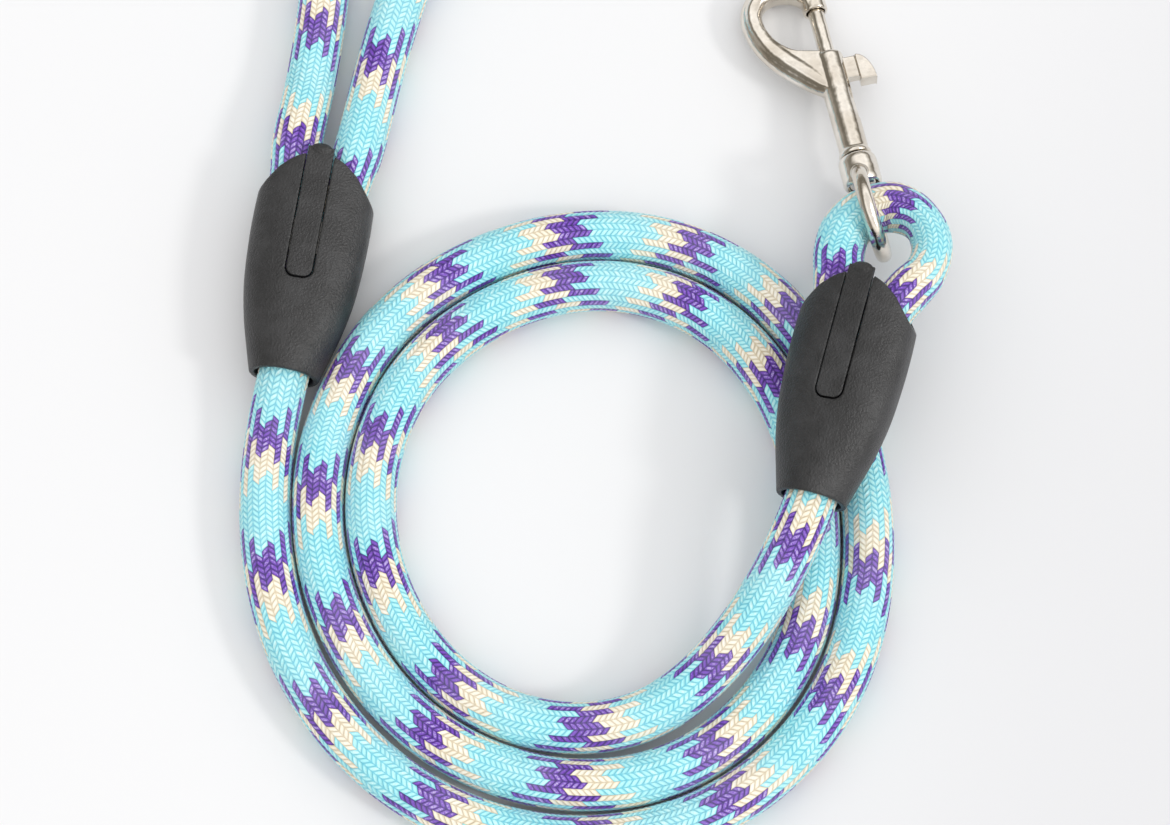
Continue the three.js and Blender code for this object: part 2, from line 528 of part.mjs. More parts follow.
// Each makes a new material from its colour, roughness and metalness.
const material = {
  rope: standard(0x86dff0, 0.75, 0),
  core: standard(0xefe9dc, 0.9, 0),
  sleeve: standard(0x2b2c2e, 0.55, 0),
  band: standard(0x9a9a98, 0.4, 1),
  nickel: standard(0xc9c2b6, 0.22, 1),
  spring: standard(0x8f9195, 0.35, 1),
};

// ---------------------------------------------------------------- assembly
const lead = new THREE.Group();
const layout = new THREE.Group();
layout.position.set(...LAYOUT_SHIFT);
lead.add(layout);

function addMesh(parent, name, geometry, makeMaterial) {
  const mesh = new THREE.Mesh(geometry, makeMaterial());
  mesh.name = name;
  parent.add(mesh);
}

// A group at an origin with its Y axis aimed at a point and its face rolled about Y.
function addFrame({ origin, toward, rollDegrees }) {
  const start = new THREE.Vector3(...origin);
  const along = new THREE.Vector3(...toward).sub(start).normalize();
  const { side, up } = crossAxes(along, rollDegrees);
  const frame = new THREE.Group();
  frame.applyMatrix4(new THREE.Matrix4().makeBasis(side, along, up).setPosition(start));
  layout.add(frame);
  return frame;
}

function addSleeve(name, placement, passages) {
  const frame = addFrame(placement);
  addMesh(frame, `${name}_sleeve`, sleeve(frame, passages), material.sleeve);
  addMesh(frame, `${name}_sleeve_key`, sleeveKey(), material.sleeve);
  addMesh(frame, `${name}_crimp_band`, crimpBand(), material.band);
}

function addSnap(placement) {
  const frame = addFrame(placement);
  addMesh(frame, "swivel_eye", swivelEye(), material.nickel);
  addMesh(frame, "snap_body", snapBody(), material.nickel);
  addMesh(frame, "snap_bolt", snapBolt(), material.nickel);
  addMesh(frame, "thumb_knob", thumbKnob(), material.nickel);
  addMesh(frame, "bolt_spring", boltSpring(), material.spring);
}

for (const piece of ROPE_PIECES) {
  const { name, step, balls } = piece;
  addMesh(layout, `${name}_jacket`, jacket(piece.jacket, step), material.rope);
  addMesh(layout, `${name}_core`, core(piece.core, step, balls), material.core);
}

addSleeve(
  "handle",
  { origin: [-70.44, 7.49, 10.15], toward: [-61.78, 63.46, 8.85], rollDegrees: 0 },
  [[492.5, 517.5]],
);
addSleeve(
  "snap",
  { origin: [51.51, -24.8, 21.5], toward: [67.08, 31.66, 21.9], rollDegrees: 18 },
  [[1536, 1561], [1599, 1618]],
);
addSnap({ origin: [69.9, 34.7, 16.3], toward: [57.72, 91.65, 6.44], rollDegrees: 0 });

export default lead;
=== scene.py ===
# Lead rope: a braided lead lying on the floor (z = 0). Its middle is coiled in rings about the
# layout origin. One end makes a hand loop towards +Y and is held in a moulded sleeve at -X. The other
# end holds the eye of a bolt snap in a second sleeve at +X, and the snap points towards +Y.
# Builders work in millimetres in the layout frame, or in a fitting's own frame (u across, v along,
# w up). to_row() takes layout millimetres to the row frame in metres.
import json
import math
import bmesh
import bpy
import numpy as np
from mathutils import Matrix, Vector

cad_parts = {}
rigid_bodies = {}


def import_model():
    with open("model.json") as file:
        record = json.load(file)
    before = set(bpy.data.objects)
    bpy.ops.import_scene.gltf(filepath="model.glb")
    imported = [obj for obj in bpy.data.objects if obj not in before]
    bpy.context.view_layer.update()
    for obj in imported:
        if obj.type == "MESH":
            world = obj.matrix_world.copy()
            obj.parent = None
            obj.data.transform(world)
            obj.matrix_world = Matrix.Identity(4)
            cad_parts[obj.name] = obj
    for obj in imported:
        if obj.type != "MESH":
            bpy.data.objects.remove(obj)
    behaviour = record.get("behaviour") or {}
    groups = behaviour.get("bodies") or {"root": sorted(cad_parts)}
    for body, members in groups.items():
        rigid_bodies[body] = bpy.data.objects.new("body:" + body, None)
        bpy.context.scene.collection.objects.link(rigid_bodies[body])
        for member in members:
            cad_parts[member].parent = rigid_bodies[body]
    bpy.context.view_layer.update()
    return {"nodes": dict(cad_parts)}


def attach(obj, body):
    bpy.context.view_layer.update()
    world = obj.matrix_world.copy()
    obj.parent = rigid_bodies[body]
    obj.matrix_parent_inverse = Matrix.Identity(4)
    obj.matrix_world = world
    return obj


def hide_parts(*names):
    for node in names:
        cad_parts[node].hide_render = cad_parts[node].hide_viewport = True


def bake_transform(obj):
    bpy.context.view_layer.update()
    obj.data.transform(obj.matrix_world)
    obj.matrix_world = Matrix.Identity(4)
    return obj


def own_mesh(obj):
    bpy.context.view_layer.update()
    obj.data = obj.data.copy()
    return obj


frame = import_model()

SHIFT = np.array([-2.642, -76.048, 0.0])  # layout frame to row frame, mm
TURN = 2 * math.pi


def to_row(points):
    return (points + SHIFT) / 1000.0


def add_object(name, data):
    ob = bpy.data.objects.new(name, data)
    bpy.context.scene.collection.objects.link(ob)
    return ob


# ------------------------------------------------------------------ the rope's path
# x, y, z of the centreline, one point every POINT_STEP, from the hand loop's tail to the snap's
CENTRE = np.array([
    [-71.99,33.03,9.55], [-70.84,38.91,9.21], [-70.17,44.87,9.16], [-69.77,50.86,9.20],
    [-69.45,56.85,9.12], [-68.98,62.82,8.74], [-68.21,68.71,7.92], [-67.22,74.55,6.92],
    [-66.20,80.41,6.15], [-65.28,86.33,6], [-64.46,92.28,6], [-63.76,98.24,6],
    [-63.18,104.21,6], [-62.75,110.20,6.03], [-62.45,116.19,6.08], [-62.28,122.19,6.11],
    [-62.24,128.19,6.10], [-62.33,134.19,6.08], [-62.54,140.19,6.04], [-62.87,146.18,6.01],
    [-63.32,152.17,6], [-63.88,158.14,6], [-64.54,164.11,6], [-65.24,170.07,6],
    [-65.96,176.03,6], [-66.64,181.99,6], [-67.23,187.96,6], [-67.70,193.94,6.02],
    [-67.99,199.94,6.03], [-68.06,205.94,6.03], [-67.87,211.94,6.03], [-67.32,217.91,6.01],
    [-66.30,223.82,6], [-64.66,229.59,6], [-62.30,235.11,6], [-59.19,240.23,6],
    [-55.27,244.77,6], [-50.54,248.45,6.01], [-45.13,251.01,6], [-39.30,252.40,6],
    [-33.31,252.56,6], [-27.43,251.44,6], [-21.91,249.11,6], [-16.96,245.73,6.01],
    [-12.77,241.45,6], [-9.46,236.45,6], [-7.02,230.98,6], [-5.44,225.19,6],
    [-4.71,219.24,6], [-4.75,213.24,6], [-5.41,207.28,6.02], [-6.54,201.39,6.04],
    [-8.00,195.56,6.04], [-9.71,189.81,6.03], [-11.64,184.13,6.01], [-13.75,178.51,6],
    [-16.01,172.95,6], [-18.37,167.43,6], [-20.80,161.95,6], [-23.27,156.48,6],
    [-25.75,151.01,6], [-28.20,145.53,6], [-30.60,140.03,6.02], [-32.95,134.51,6.06],
    [-35.24,128.96,6.10], [-37.44,123.38,6.13], [-39.56,117.77,6.13], [-41.58,112.11,6.10],
    [-43.49,106.42,6.03], [-45.27,100.69,6], [-46.92,94.92,6], [-48.45,89.12,6],
    [-49.85,83.28,6], [-51.13,77.43,6.17], [-52.30,71.61,7.06], [-53.50,65.83,8.13],
    [-54.96,60.06,8.87], [-56.64,54.30,9.07], [-58.11,48.49,9.10], [-59.14,42.58,9.23],
    [-60.08,36.65,9.42], [-61.44,30.81,9.56], [-63.47,25.17,9.64], [-66.14,19.80,9.81],
    [-68.82,14.44,10.05], [-70.29,8.64,9.84], [-71.57,2.91,8.61], [-72.76,-2.79,7.16],
    [-73.65,-8.65,6.24], [-74.19,-14.62,6], [-74.38,-20.61,6], [-74.22,-26.61,6],
    [-73.70,-32.59,6.05], [-72.81,-38.52,6.10], [-71.53,-44.39,6.10], [-69.83,-50.14,6.06],
    [-67.70,-55.75,6.02], [-65.12,-61.16,6], [-62.11,-66.36,6], [-58.70,-71.29,6],
    [-54.91,-75.94,6], [-50.77,-80.29,6], [-46.30,-84.29,6], [-41.52,-87.92,6],
    [-36.47,-91.15,6], [-31.16,-93.94,6.01], [-25.62,-96.26,6.02], [-19.91,-98.10,6.02],
    [-14.07,-99.44,6.02], [-8.13,-100.29,6.02], [-2.14,-100.64,6.01], [3.86,-100.49,6.01],
    [9.82,-99.82,6], [15.70,-98.63,6], [21.46,-96.93,6], [27.03,-94.70,6],
    [32.36,-91.96,6], [37.43,-88.75,6], [42.20,-85.10,6], [46.61,-81.04,6],
    [50.64,-76.60,6], [54.24,-71.79,6], [57.35,-66.66,6.01], [59.94,-61.25,6.01],
    [62.02,-55.63,6.01], [63.61,-49.84,6.01], [64.74,-43.95,6], [65.43,-37.99,6],
    [65.71,-31.99,6], [65.61,-25.99,6], [65.14,-20.01,6], [64.32,-14.07,6],
    [63.16,-8.18,6], [61.61,-2.38,6], [59.65,3.29,6], [57.25,8.79,6],
    [54.42,14.07,6], [51.13,19.10,6], [47.41,23.80,6], [43.26,28.13,6],
    [38.69,32.02,6], [33.72,35.37,6], [28.41,38.17,6], [22.84,40.39,6],
    [17.07,42.03,6], [11.16,43.05,6], [5.17,43.46,6], [-0.82,43.28,6],
    [-6.78,42.54,6], [-12.64,41.27,6], [-18.38,39.51,6], [-23.95,37.27,6],
    [-29.31,34.58,6], [-34.42,31.45,6], [-39.24,27.88,6], [-43.71,23.87,6],
    [-47.77,19.46,6], [-51.36,14.65,6], [-54.34,9.45,6], [-56.82,4.01,6],
    [-58.90,-1.60,6], [-60.58,-7.37,6], [-61.59,-13.28,6], [-62.08,-19.26,6],
    [-62.06,-25.26,6], [-61.52,-31.23,6], [-60.45,-37.14,6], [-58.86,-42.92,6],
    [-56.78,-48.55,6], [-54.21,-53.97,6], [-51.18,-59.15,6], [-47.70,-64.04,6],
    [-43.79,-68.59,6], [-39.47,-72.75,6], [-34.78,-76.48,6], [-29.73,-79.73,6],
    [-24.38,-82.44,6], [-18.79,-84.62,6], [-13.02,-86.25,6], [-7.11,-87.31,6],
    [-1.13,-87.77,6], [4.87,-87.62,6], [10.81,-86.81,6], [16.62,-85.32,6],
    [22.21,-83.14,6], [27.48,-80.28,6], [32.38,-76.82,6], [36.86,-72.83,6],
    [40.89,-68.39,6], [44.41,-63.53,6], [47.38,-58.32,6], [49.73,-52.80,6],
    [51.44,-47.05,6], [52.54,-41.15,6], [53.11,-35.18,6], [53.23,-29.18,6],
    [52.97,-23.19,6], [52.32,-17.22,6], [51.25,-11.32,6], [49.69,-5.52,6],
    [47.61,0.10,6], [44.99,5.50,6], [41.82,10.59,6], [38.11,15.31,6],
    [33.87,19.54,6], [29.11,23.20,6], [23.92,26.19,6], [18.38,28.48,6],
    [12.59,30.07,6], [6.65,30.90,6], [0.65,30.96,6], [-5.30,30.26,6],
    [-11.14,28.87,6], [-16.78,26.85,6], [-22.19,24.24,6], [-27.29,21.09,6],
    [-32.04,17.42,6], [-36.36,13.26,6.01], [-40.18,8.63,6.01], [-43.40,3.57,6.01],
    [-45.97,-1.85,6], [-47.88,-7.53,6], [-49.14,-13.40,6], [-49.74,-19.36,6],
    [-49.68,-25.36,6], [-48.98,-31.32,6], [-47.63,-37.16,6], [-45.65,-42.83,6],
    [-43.09,-48.25,6], [-39.97,-53.38,6.01], [-36.32,-58.13,6.02], [-32.15,-62.45,6.02],
    [-27.50,-66.24,6.02], [-22.42,-69.42,6.02], [-16.96,-71.90,6], [-11.21,-73.61,6],
    [-5.28,-74.52,6], [0.71,-74.63,6.09], [6.66,-73.90,6.34], [12.42,-72.30,6.80],
    [17.82,-69.81,7.54], [22.77,-66.59,8.55], [27.28,-62.84,9.82], [31.37,-58.72,11.34],
    [35.09,-54.36,13.13], [38.48,-49.83,15.11], [41.58,-45.09,17.10], [44.43,-40.12,18.89],
    [47.07,-34.92,20.27], [49.53,-29.51,21.09], [51.70,-23.93,21.45], [53.74,-18.29,21.68],
    [56.73,-13.13,22.23], [60.09,-8.19,22.88], [62.79,-2.86,23.30], [64.63,2.85,23.41],
    [66.22,8.63,23.46], [68.11,14.32,23.67], [70.83,19.64,24.03], [74.57,24.31,23.62],
    [78.60,28.85,22.45], [80.72,34.70,20.84], [79.95,40.70,18.92], [76.68,45.33,16.78],
    [71.56,47.56,15.16], [65.63,46.06,14.84], [61.25,41.63,15.52], [59.42,35.76,16.93],
    [59.14,29.91,18.52], [58.50,24.05,19.65], [57.54,18.15,20.08], [56.22,12.30,20.02],
    [54.70,6.49,19.86], [53.12,0.71,19.98],
])
POINT_STEP = 6.0
LENGTH = POINT_STEP * (len(CENTRE) - 1)
ROPE_R = 6.0

# Stations, mm along the rope, of the four short stretches between the rigid pieces; they are baked in
# place and attached to no body
TAIL_BEND, LEG_BEND, HANDLE_MOUTH, SNAP_MOUTH = 37.1, 448.5, 520.4, 1490.3
HALF_BEND = 10.5

# The squeeze inside the sleeves: station, side factor, height factor, roll in degrees
SQUEEZE = np.array([
    [0, 0.84, 0.87, 0], [14.14, 0.84, 0.87, 0], [25.14, 0.92, 0.95, 0], [32.14, 1, 1, 0],
    [453.21, 1, 1, 0], [460.21, 0.92, 0.95, 0], [471.21, 0.84, 0.87, 0],
    [487.21, 0.84, 0.87, 0], [498.21, 0.9, 0.95, 0], [506.21, 1, 1, 0],
    [1499.48, 1, 1, 0], [1504.48, 1, 1, 8], [1512.48, 0.9, 0.95, 18],
    [1523.48, 0.84, 0.87, 18], [1540.48, 0.84, 0.87, 18], [1545.48, 0.88, 0.95, 14],
    [1553.48, 0.9, 1, 8], [1563.48, 0.8, 1.02, 0], [1572.48, 0.8, 1.02, 0],
    [1583.48, 1, 1, 0], [1597.38, 1, 1, 0], [1607.38, 1, 1, -10],
    [1613.38, 0.93, 0.95, -18], [1623.38, 0.84, 0.87, -18], [1640.41, 0.84, 0.87, -18],
])


def squeeze_at(stations, column):
    """Smoothstep between the rows of SQUEEZE."""
    known = SQUEEZE[:, 0]
    x = np.clip(np.asarray(stations, float), known[0], known[-1])
    i = np.clip(np.searchsorted(known, x, side="left"), 1, len(known) - 1)
    t = (x - known[i - 1]) / (known[i] - known[i - 1])
    t = t * t * (3 - 2 * t)
    values = SQUEEZE[:, column]
    return values[i - 1] + t * (values[i] - values[i - 1])


def padded(points):
    """The points with one more at each end, in line with the last two."""
    return np.vstack([2 * points[0] - points[1], points, 2 * points[-1] - points[-2]])


def centre_at(stations):
    """Point and unit tangent of the uniform Catmull-Rom curve through CENTRE."""
    t = np.atleast_1d(np.asarray(stations, float)) / POINT_STEP
    i = np.clip(np.floor(t).astype(int), 0, len(CENTRE) - 2)
    t = (t - i)[:, None]
    points = padded(CENTRE)
    p0, p1, p2, p3 = points[i], points[i + 1], points[i + 2], points[i + 3]
    v0, v1 = (p2 - p0) / 2, (p3 - p1) / 2
    a, b = 2 * p1 - 2 * p2 + v0 + v1, -3 * p1 + 3 * p2 - 2 * v0 - v1
    tangent = (3 * a * t + 2 * b) * t + v0
    return ((a * t + b) * t + v0) * t + p1, tangent / np.linalg.norm(tangent, axis=1)[:, None]


def sections_at(stations):
    """Centre, side direction and up direction of the rope's cross sections."""
    centre, tangent = centre_at(stations)
    centre[:, 2] = np.maximum(centre[:, 2], ROPE_R)  # never sinks into the floor
    side = np.cross(tangent, [0.0, 0.0, 1.0])
    side /= np.linalg.norm(side, axis=1)[:, None]
    up = np.cross(side, tangent)
    roll = np.radians(squeeze_at(stations, 3))[:, None]
    return (centre, side * np.cos(roll) + up * np.sin(roll),
            up * np.cos(roll) - side * np.sin(roll))


# ------------------------------------------------------------------ the braid
COLUMNS = 24  # columns of stitches round the rope; neighbours slant opposite ways
COLUMN_ANGLE = 360.0 / COLUMNS
TOP_COLUMN = COLUMNS // 4
PERIOD = 24.0  # rows in one repeat of the colours
FIRST_ROW = 3.0  # row at the middle of purple diamond number 0
SLANT = 0.95  # rows a stitch moves along the rope over the width of its column
CROWN_R = ROPE_R + 0.04
RELIEF = 0.34  # groove to crown
ACROSS_POWER, ALONG_POWER = 0.55, 0.5  # lower is a flatter crown
STITCH_END = 0.35  # height at the ends of a stitch, as a share of its crown
AROUND = 96  # points round the rope
RING_STEP = 0.42

# Purple diamonds on the top: station of the middle, its number, degrees it is turned off the top
DIAMONDS = np.array([
    [0.0, -16, 0], [30.5, -15, 0], [526.0, 0, -3], [557.5, 1, -1], [592.0, 2, -3],
    [626.5, 3, 5], [661.0, 4, 8], [695.5, 5, 8], [730.0, 6, 18], [760.5, 7, 4],
    [793.5, 8, 0], [827.0, 9, -2], [854.5, 10, -8], [885.0, 11, -3], [916.0, 12, 2],
    [947.5, 13, -3], [977.0, 14, -1], [1009.5, 15, -2], [1043.0, 16, -2], [1075.5, 17, 5],
    [1110.5, 18, -3], [1144.0, 19, -3], [1176.0, 20, 2], [1208.0, 21, 0], [1235.5, 22, -12],
    [1265.0, 23, -15], [1295.0, 24, -19], [1325.0, 25, -16], [1356.0, 26, -12],
    [1387.5, 27, -14], [1421.0, 28, -6], [1455.0, 29, -5], [1487.5, 30, -4], [1640.0, 35, 0],
])


def smooth_interp(x, table, column):
    """Piecewise cubic through the table's rows, with averaged slopes."""
    X, Y = table[:, 0], table[:, column]
    slope = np.gradient(Y, X)
    i = np.clip(np.searchsorted(X, x, side="right") - 1, 0, len(X) - 2)
    h = X[i + 1] - X[i]
    t = (x - X[i]) / h
    return (Y[i] * (2 * t**3 - 3 * t**2 + 1) + slope[i] * h * (t**3 - 2 * t**2 + t)
            + Y[i + 1] * (-2 * t**3 + 3 * t**2) + slope[i + 1] * h * (t**3 - t**2))


def stitch_height(column, row):
    """Height of the braided surface, 0 in the grooves to 1 on the crown of a stitch."""
    whole = np.floor(column)
    f = column - whole
    direction = 1.0 - 2.0 * np.mod(whole, 2.0)
    slanted = row + direction * (f - 0.5) * SLANT
    g = slanted - np.floor(slanted)
    across = np.clip(4 * f * (1 - f), 0, 1) ** ACROSS_POWER
    along = np.clip(4 * g * (1 - g), 0, 1) ** ALONG_POWER
    return across * (STITCH_END + (1 - STITCH_END) * along)


def end_disc(rim, first, at_start):
    """Faces that close one end: quads in to a half-size ring, then triangles to the centre."""
    inner, middle = first + np.arange(AROUND), first + AROUND
    faces = []
    for a, b, c, d in zip(rim, np.roll(rim, -1), np.roll(inner, -1), inner):
        faces += [[a, d, c, b], [d, middle, c]] if at_start else [[a, b, c, d], [d, c, middle]]
    return faces


def mesh_from_loops(name, points, loops, totals):
    me = bpy.data.meshes.new(name)
    me.vertices.add(len(points))
    me.vertices.foreach_set("co", points.astype(np.float32).ravel())
    me.loops.add(len(loops))
    me.loops.foreach_set("vertex_index", loops)
    me.polygons.add(len(totals))
    starts = np.concatenate([[0], np.cumsum(totals)[:-1]]).astype(np.int32)
    me.polygons.foreach_set("loop_start", starts)
    me.polygons.foreach_set("loop_total", totals)
    me.update(calc_edges=True)
    return me


def rope_piece(name, start, end):
    """The braided skin between two stations, closed by a disc at each end."""
    n = max(2, int(round((end - start) / RING_STEP)))
    stations = np.linspace(start, end, n + 1)
    centre, side, up = sections_at(stations)
    angle = -math.pi / 2 + TURN * np.arange(AROUND) / AROUND  # seam along the underside
    turned = smooth_interp(stations, DIAMONDS, 2) / COLUMN_ANGLE
    column = np.degrees(angle)[None, :] / COLUMN_ANGLE + 0.5 - turned[:, None]
    row = smooth_interp(stations, DIAMONDS, 1) * PERIOD + FIRST_ROW
    r = CROWN_R - RELIEF * (1 - stitch_height(column, row[:, None]))
    sideways = r * np.cos(angle)[None] * squeeze_at(stations, 1)[:, None]
    upward = r * np.sin(angle)[None] * squeeze_at(stations, 2)[:, None]
    skin = (centre[:, None, :] + sideways[..., None] * side[:, None, :]
            + upward[..., None] * up[:, None, :])
    skin_count = (n + 1) * AROUND

    i, j = (k.ravel() for k in np.meshgrid(np.arange(n), np.arange(AROUND), indexing="ij"))
    a, b = i * AROUND + j, i * AROUND + (j + 1) % AROUND
    quads = np.stack([a, b, b + AROUND, a + AROUND], -1)
    points, caps, first = [skin.reshape(-1, 3)], [], skin_count
    for ring in (0, n):
        points += [centre[ring] + 0.5 * (skin[ring] - centre[ring]), centre[ring][None]]
        caps += end_disc(np.arange(AROUND) + ring * AROUND, first, ring == 0)
        first += AROUND + 1
    loops = np.concatenate([quads.ravel()] + caps).astype(np.int32)
    totals = np.array([4] * len(quads) + [len(face) for face in caps], np.int32)
    me = mesh_from_loops(name, to_row(np.vstack(points)), loops, totals)

    # weave coordinates on the corners, so that the seam does not wrap; zero on the discs
    rings, places = np.stack([i, i, i + 1, i + 1], -1), np.stack([j, j + 1, j + 1, j], -1)
    uv = np.zeros((len(loops), 2), np.float32)
    uv[:quads.size, 0] = (column[rings, 0] + places * (COLUMNS / AROUND)).ravel()
    uv[:quads.size, 1] = row[rings].ravel()
    me.uv_layers.new(name="weave").data.foreach_set("uv", uv.ravel())
    me.polygons.foreach_set("use_smooth", np.full(len(totals), True))

    # the rims of the end discs are sharp, so that the tube shades through to the next piece
    ends = np.zeros(len(me.edges) * 2, np.int32)
    me.edges.foreach_get("vertices", ends)
    low, high = np.sort(ends.reshape(-1, 2), axis=1).T
    sharp = (high < AROUND) | ((low >= n * AROUND) & (high < skin_count))
    me.attributes.new("sharp_edge", "BOOLEAN", "EDGE").data.foreach_set("value", sharp)
    ob = add_object(name, me)
    me.materials.append(MAT_ROPE)
    return ob


# ------------------------------------------------------------------ node trees
class Graph:
    """Adds and links shader nodes in one tree; most methods return an output socket."""

    def __init__(self, tree):
        self.tree = tree
        tree.nodes.clear()

    def add(self, kind, inputs, **settings):
        """A node, with inputs keyed by name or index; each is a value or a socket to link."""
        node = self.tree.nodes.new("ShaderNode" + kind)
        for key, value in settings.items():
            setattr(node, key, value)
        for key, value in inputs.items():
            if isinstance(value, bpy.types.NodeSocket):
                self.tree.links.new(value, node.inputs[key])
            else:
                node.inputs[key].default_value = value
        return node

    def calc(self, operation, *values, clamp=False):
        node = self.add("Math", dict(enumerate(values)), operation=operation, use_clamp=clamp)
        return node.outputs[0]

    def plus(self, a, b, clamp=False):
        return self.calc("ADD", a, b, clamp=clamp)

    def minus(self, a, b):
        return self.calc("SUBTRACT", a, b)

    def times(self, value, by):
        return self.calc("MULTIPLY", value, by)

    def scaled(self, value, by, plus):
        return self.calc("MULTIPLY_ADD", value, by, plus)

    def hump(self, x):
        """0 at both ends of 0 to 1, and 1 in the middle."""
        return self.times(self.times(x, self.minus(1.0, x)), by=4.0)

    def mix(self, factor, a, b):
        """From colour a to colour b; 0, 6, 7 and output 2 are the Mix node's colour sockets."""
        return self.add("Mix", {0: factor, 6: a, 7: b}, data_type="RGBA").outputs[2]

    def ramp(self, x, low, high, start=0.0, end=1.0):
        """Smoothstep from start to end as x goes from low to high."""
        inputs = dict(enumerate((x, low, high, start, end)))
        return self.add("MapRange", inputs, interpolation_type="SMOOTHSTEP").outputs[0]

    def noise(self, vector, scale, detail=2.0, roughness=0.5):
        return self.add("TexNoise", {"Vector": vector, "Scale": scale, "Detail": detail,
                                     "Roughness": roughness}).outputs[0]

    def position(self):
        return self.add("TexCoord", {}).outputs["Object"]

    def separate(self, vector):
        return self.add("SeparateXYZ", {0: vector}).outputs

    def bump(self, height, distance, strength=1.0):
        return self.add("Bump", {"Distance": distance, "Strength": strength,
                                 "Height": height}).outputs[0]


class Material(Graph):
    def __init__(self, name):
        self.made = bpy.data.materials.new(name)
        self.made.use_nodes = True
        super().__init__(self.made.node_tree)

    def finish(self, inputs):
        """Adds the Principled surface with these inputs and returns the material."""
        self.add("OutputMaterial", {"Surface": self.add("BsdfPrincipled", inputs).outputs[0]})
        return self.made


def srgb(r, g, b):
    """sRGB 0-255 to linear, with full alpha."""
    def linear(c):
        return c / 12.92 if c <= 0.04045 else ((c + 0.055) / 1.055) ** 2.4
    return (linear(r / 255.0), linear(g / 255.0), linear(b / 255.0), 1.0)


# ------------------------------------------------------------------ materials
# lit crown and shaded groove of each strand colour
AQUA_HI, AQUA_LO = srgb(180, 248, 250), srgb(106, 206, 228)
PURPLE_HI, PURPLE_LO = srgb(122, 64, 198), srgb(38, 12, 98)
CREAM_HI, CREAM_LO = srgb(255, 247, 226), srgb(220, 202, 166)
WHITE = srgb(255, 255, 255)
PURPLE_STRANDS, CREAM_STRANDS = 6.0, 5.0  # of PERIOD strands in a family; the rest are aqua


def rope_material():
    m = Material("braided_jacket")
    u, v, _ = m.separate(m.add("UVMap", {}, uv_map="weave").outputs[0])
    column = m.calc("FLOOR", u)
    f = m.minus(u, column)
    direction = m.scaled(m.calc("FLOORED_MODULO", column, 2.0), by=-2.0, plus=1.0)
    slant = m.times(direction, m.scaled(f, by=SLANT, plus=-0.5 * SLANT))
    slanted = m.plus(v, slant)
    row = m.calc("FLOOR", slanted)
    g = m.minus(slanted, row)
    # which strand of its family the stitch belongs to; 0.25 keeps it clear of the limits
    strand = m.minus(row, m.times(direction, m.minus(column, TOP_COLUMN)))
    strand = m.plus(m.calc("FLOORED_MODULO", strand, PERIOD), 0.25)
    purple = m.calc("LESS_THAN", strand, PURPLE_STRANDS)
    cream = m.times(m.calc("LESS_THAN", strand, PURPLE_STRANDS + CREAM_STRANDS),
                    by=m.calc("GREATER_THAN", strand, PURPLE_STRANDS))
    # soft crown of the stitch; the powers set how flat it is across and along
    across, along = m.hump(f), m.hump(g)
    crown = m.times(m.calc("POWER", across, 0.42), by=m.calc("POWER", along, 0.85))
    # 2.5 waves of fine filaments to a stitch, and unevenness from stitch to stitch
    filament = m.calc("SINE", m.times(g, by=TURN * 2.5))
    cell = m.add("CombineXYZ", {0: column, 1: row, 2: 0.0}).outputs[0]
    uneven = m.add("TexWhiteNoise", {"Vector": cell}, noise_dimensions="2D").outputs["Value"]
    fuzz = m.noise(m.position(), scale=2600.0, detail=3.0, roughness=0.6)
    light = m.mix(purple, m.mix(cream, AQUA_HI, CREAM_HI), PURPLE_HI)
    dark = m.mix(purple, m.mix(cream, AQUA_LO, CREAM_LO), PURPLE_LO)
    texture = m.scaled(filament, by=0.10, plus=m.scaled(uneven, by=0.30, plus=-0.15))
    shade = m.plus(m.ramp(crown, low=0.0, high=0.95), texture)
    shade = m.plus(shade, m.scaled(fuzz, by=0.40, plus=-0.20), clamp=True)
    colour = m.mix(shade, dark, light)
    # painted highlight: white mixed onto the crowns of stitches where the fuzz is high, standing in
    # for loose filaments that catch the light
    glint_spots = m.ramp(m.plus(fuzz, m.times(uneven, by=0.25)), low=0.58, high=0.85)
    painted_glint = m.times(m.ramp(crown, low=0.55, high=0.95), by=glint_spots)
    colour = m.mix(m.times(painted_glint, by=0.45), colour, WHITE)
    # uneven dye over a few centimetres
    dye = m.noise(m.position(), scale=60.0)
    colour = m.mix(m.ramp(dye, low=0.35, high=0.7, start=0.0, end=0.10), colour, WHITE)
    fine = m.plus(m.times(filament, by=0.035), m.times(fuzz, by=0.10))
    return m.finish({
        "Base Color": colour,
        "Roughness": m.scaled(crown, by=-0.16, plus=0.62),
        "Specular IOR Level": 0.55,
        "Sheen Weight": 0.25,
        "Sheen Roughness": 0.35,
        "Sheen Tint": WHITE,
        "Normal": m.bump(m.plus(m.times(crown, by=1.0), fine), distance=0.00022),
    })


def sleeve_material():
    """Dark moulded rubber, finely pitted, with specks of dust."""
    m = Material("moulded_sleeve")
    p = m.position()
    grain = m.noise(p, scale=3200.0, roughness=0.6)
    pits = m.add("TexVoronoi", {"Scale": 1900.0, "Vector": p}).outputs["Distance"]
    cloud = m.noise(p, scale=130.0, detail=4.0, roughness=0.6)
    dust = m.noise(p, scale=900.0, detail=5.0, roughness=0.75)
    colour = m.mix(m.ramp(cloud, low=0.35, high=0.7), srgb(38, 38, 39), srgb(54, 54, 55))
    dusty = m.ramp(dust, low=0.66, high=0.80, start=0.0, end=0.35)
    height = m.plus(m.times(grain, by=0.6), m.times(pits, by=0.5))
    return m.finish({
        "Base Color": m.mix(dusty, colour, srgb(140, 141, 143)),
        "Roughness": m.scaled(cloud, by=0.12, plus=0.34),
        "Specular IOR Level": 0.5,
        "Normal": m.bump(height, distance=0.00026),
    })


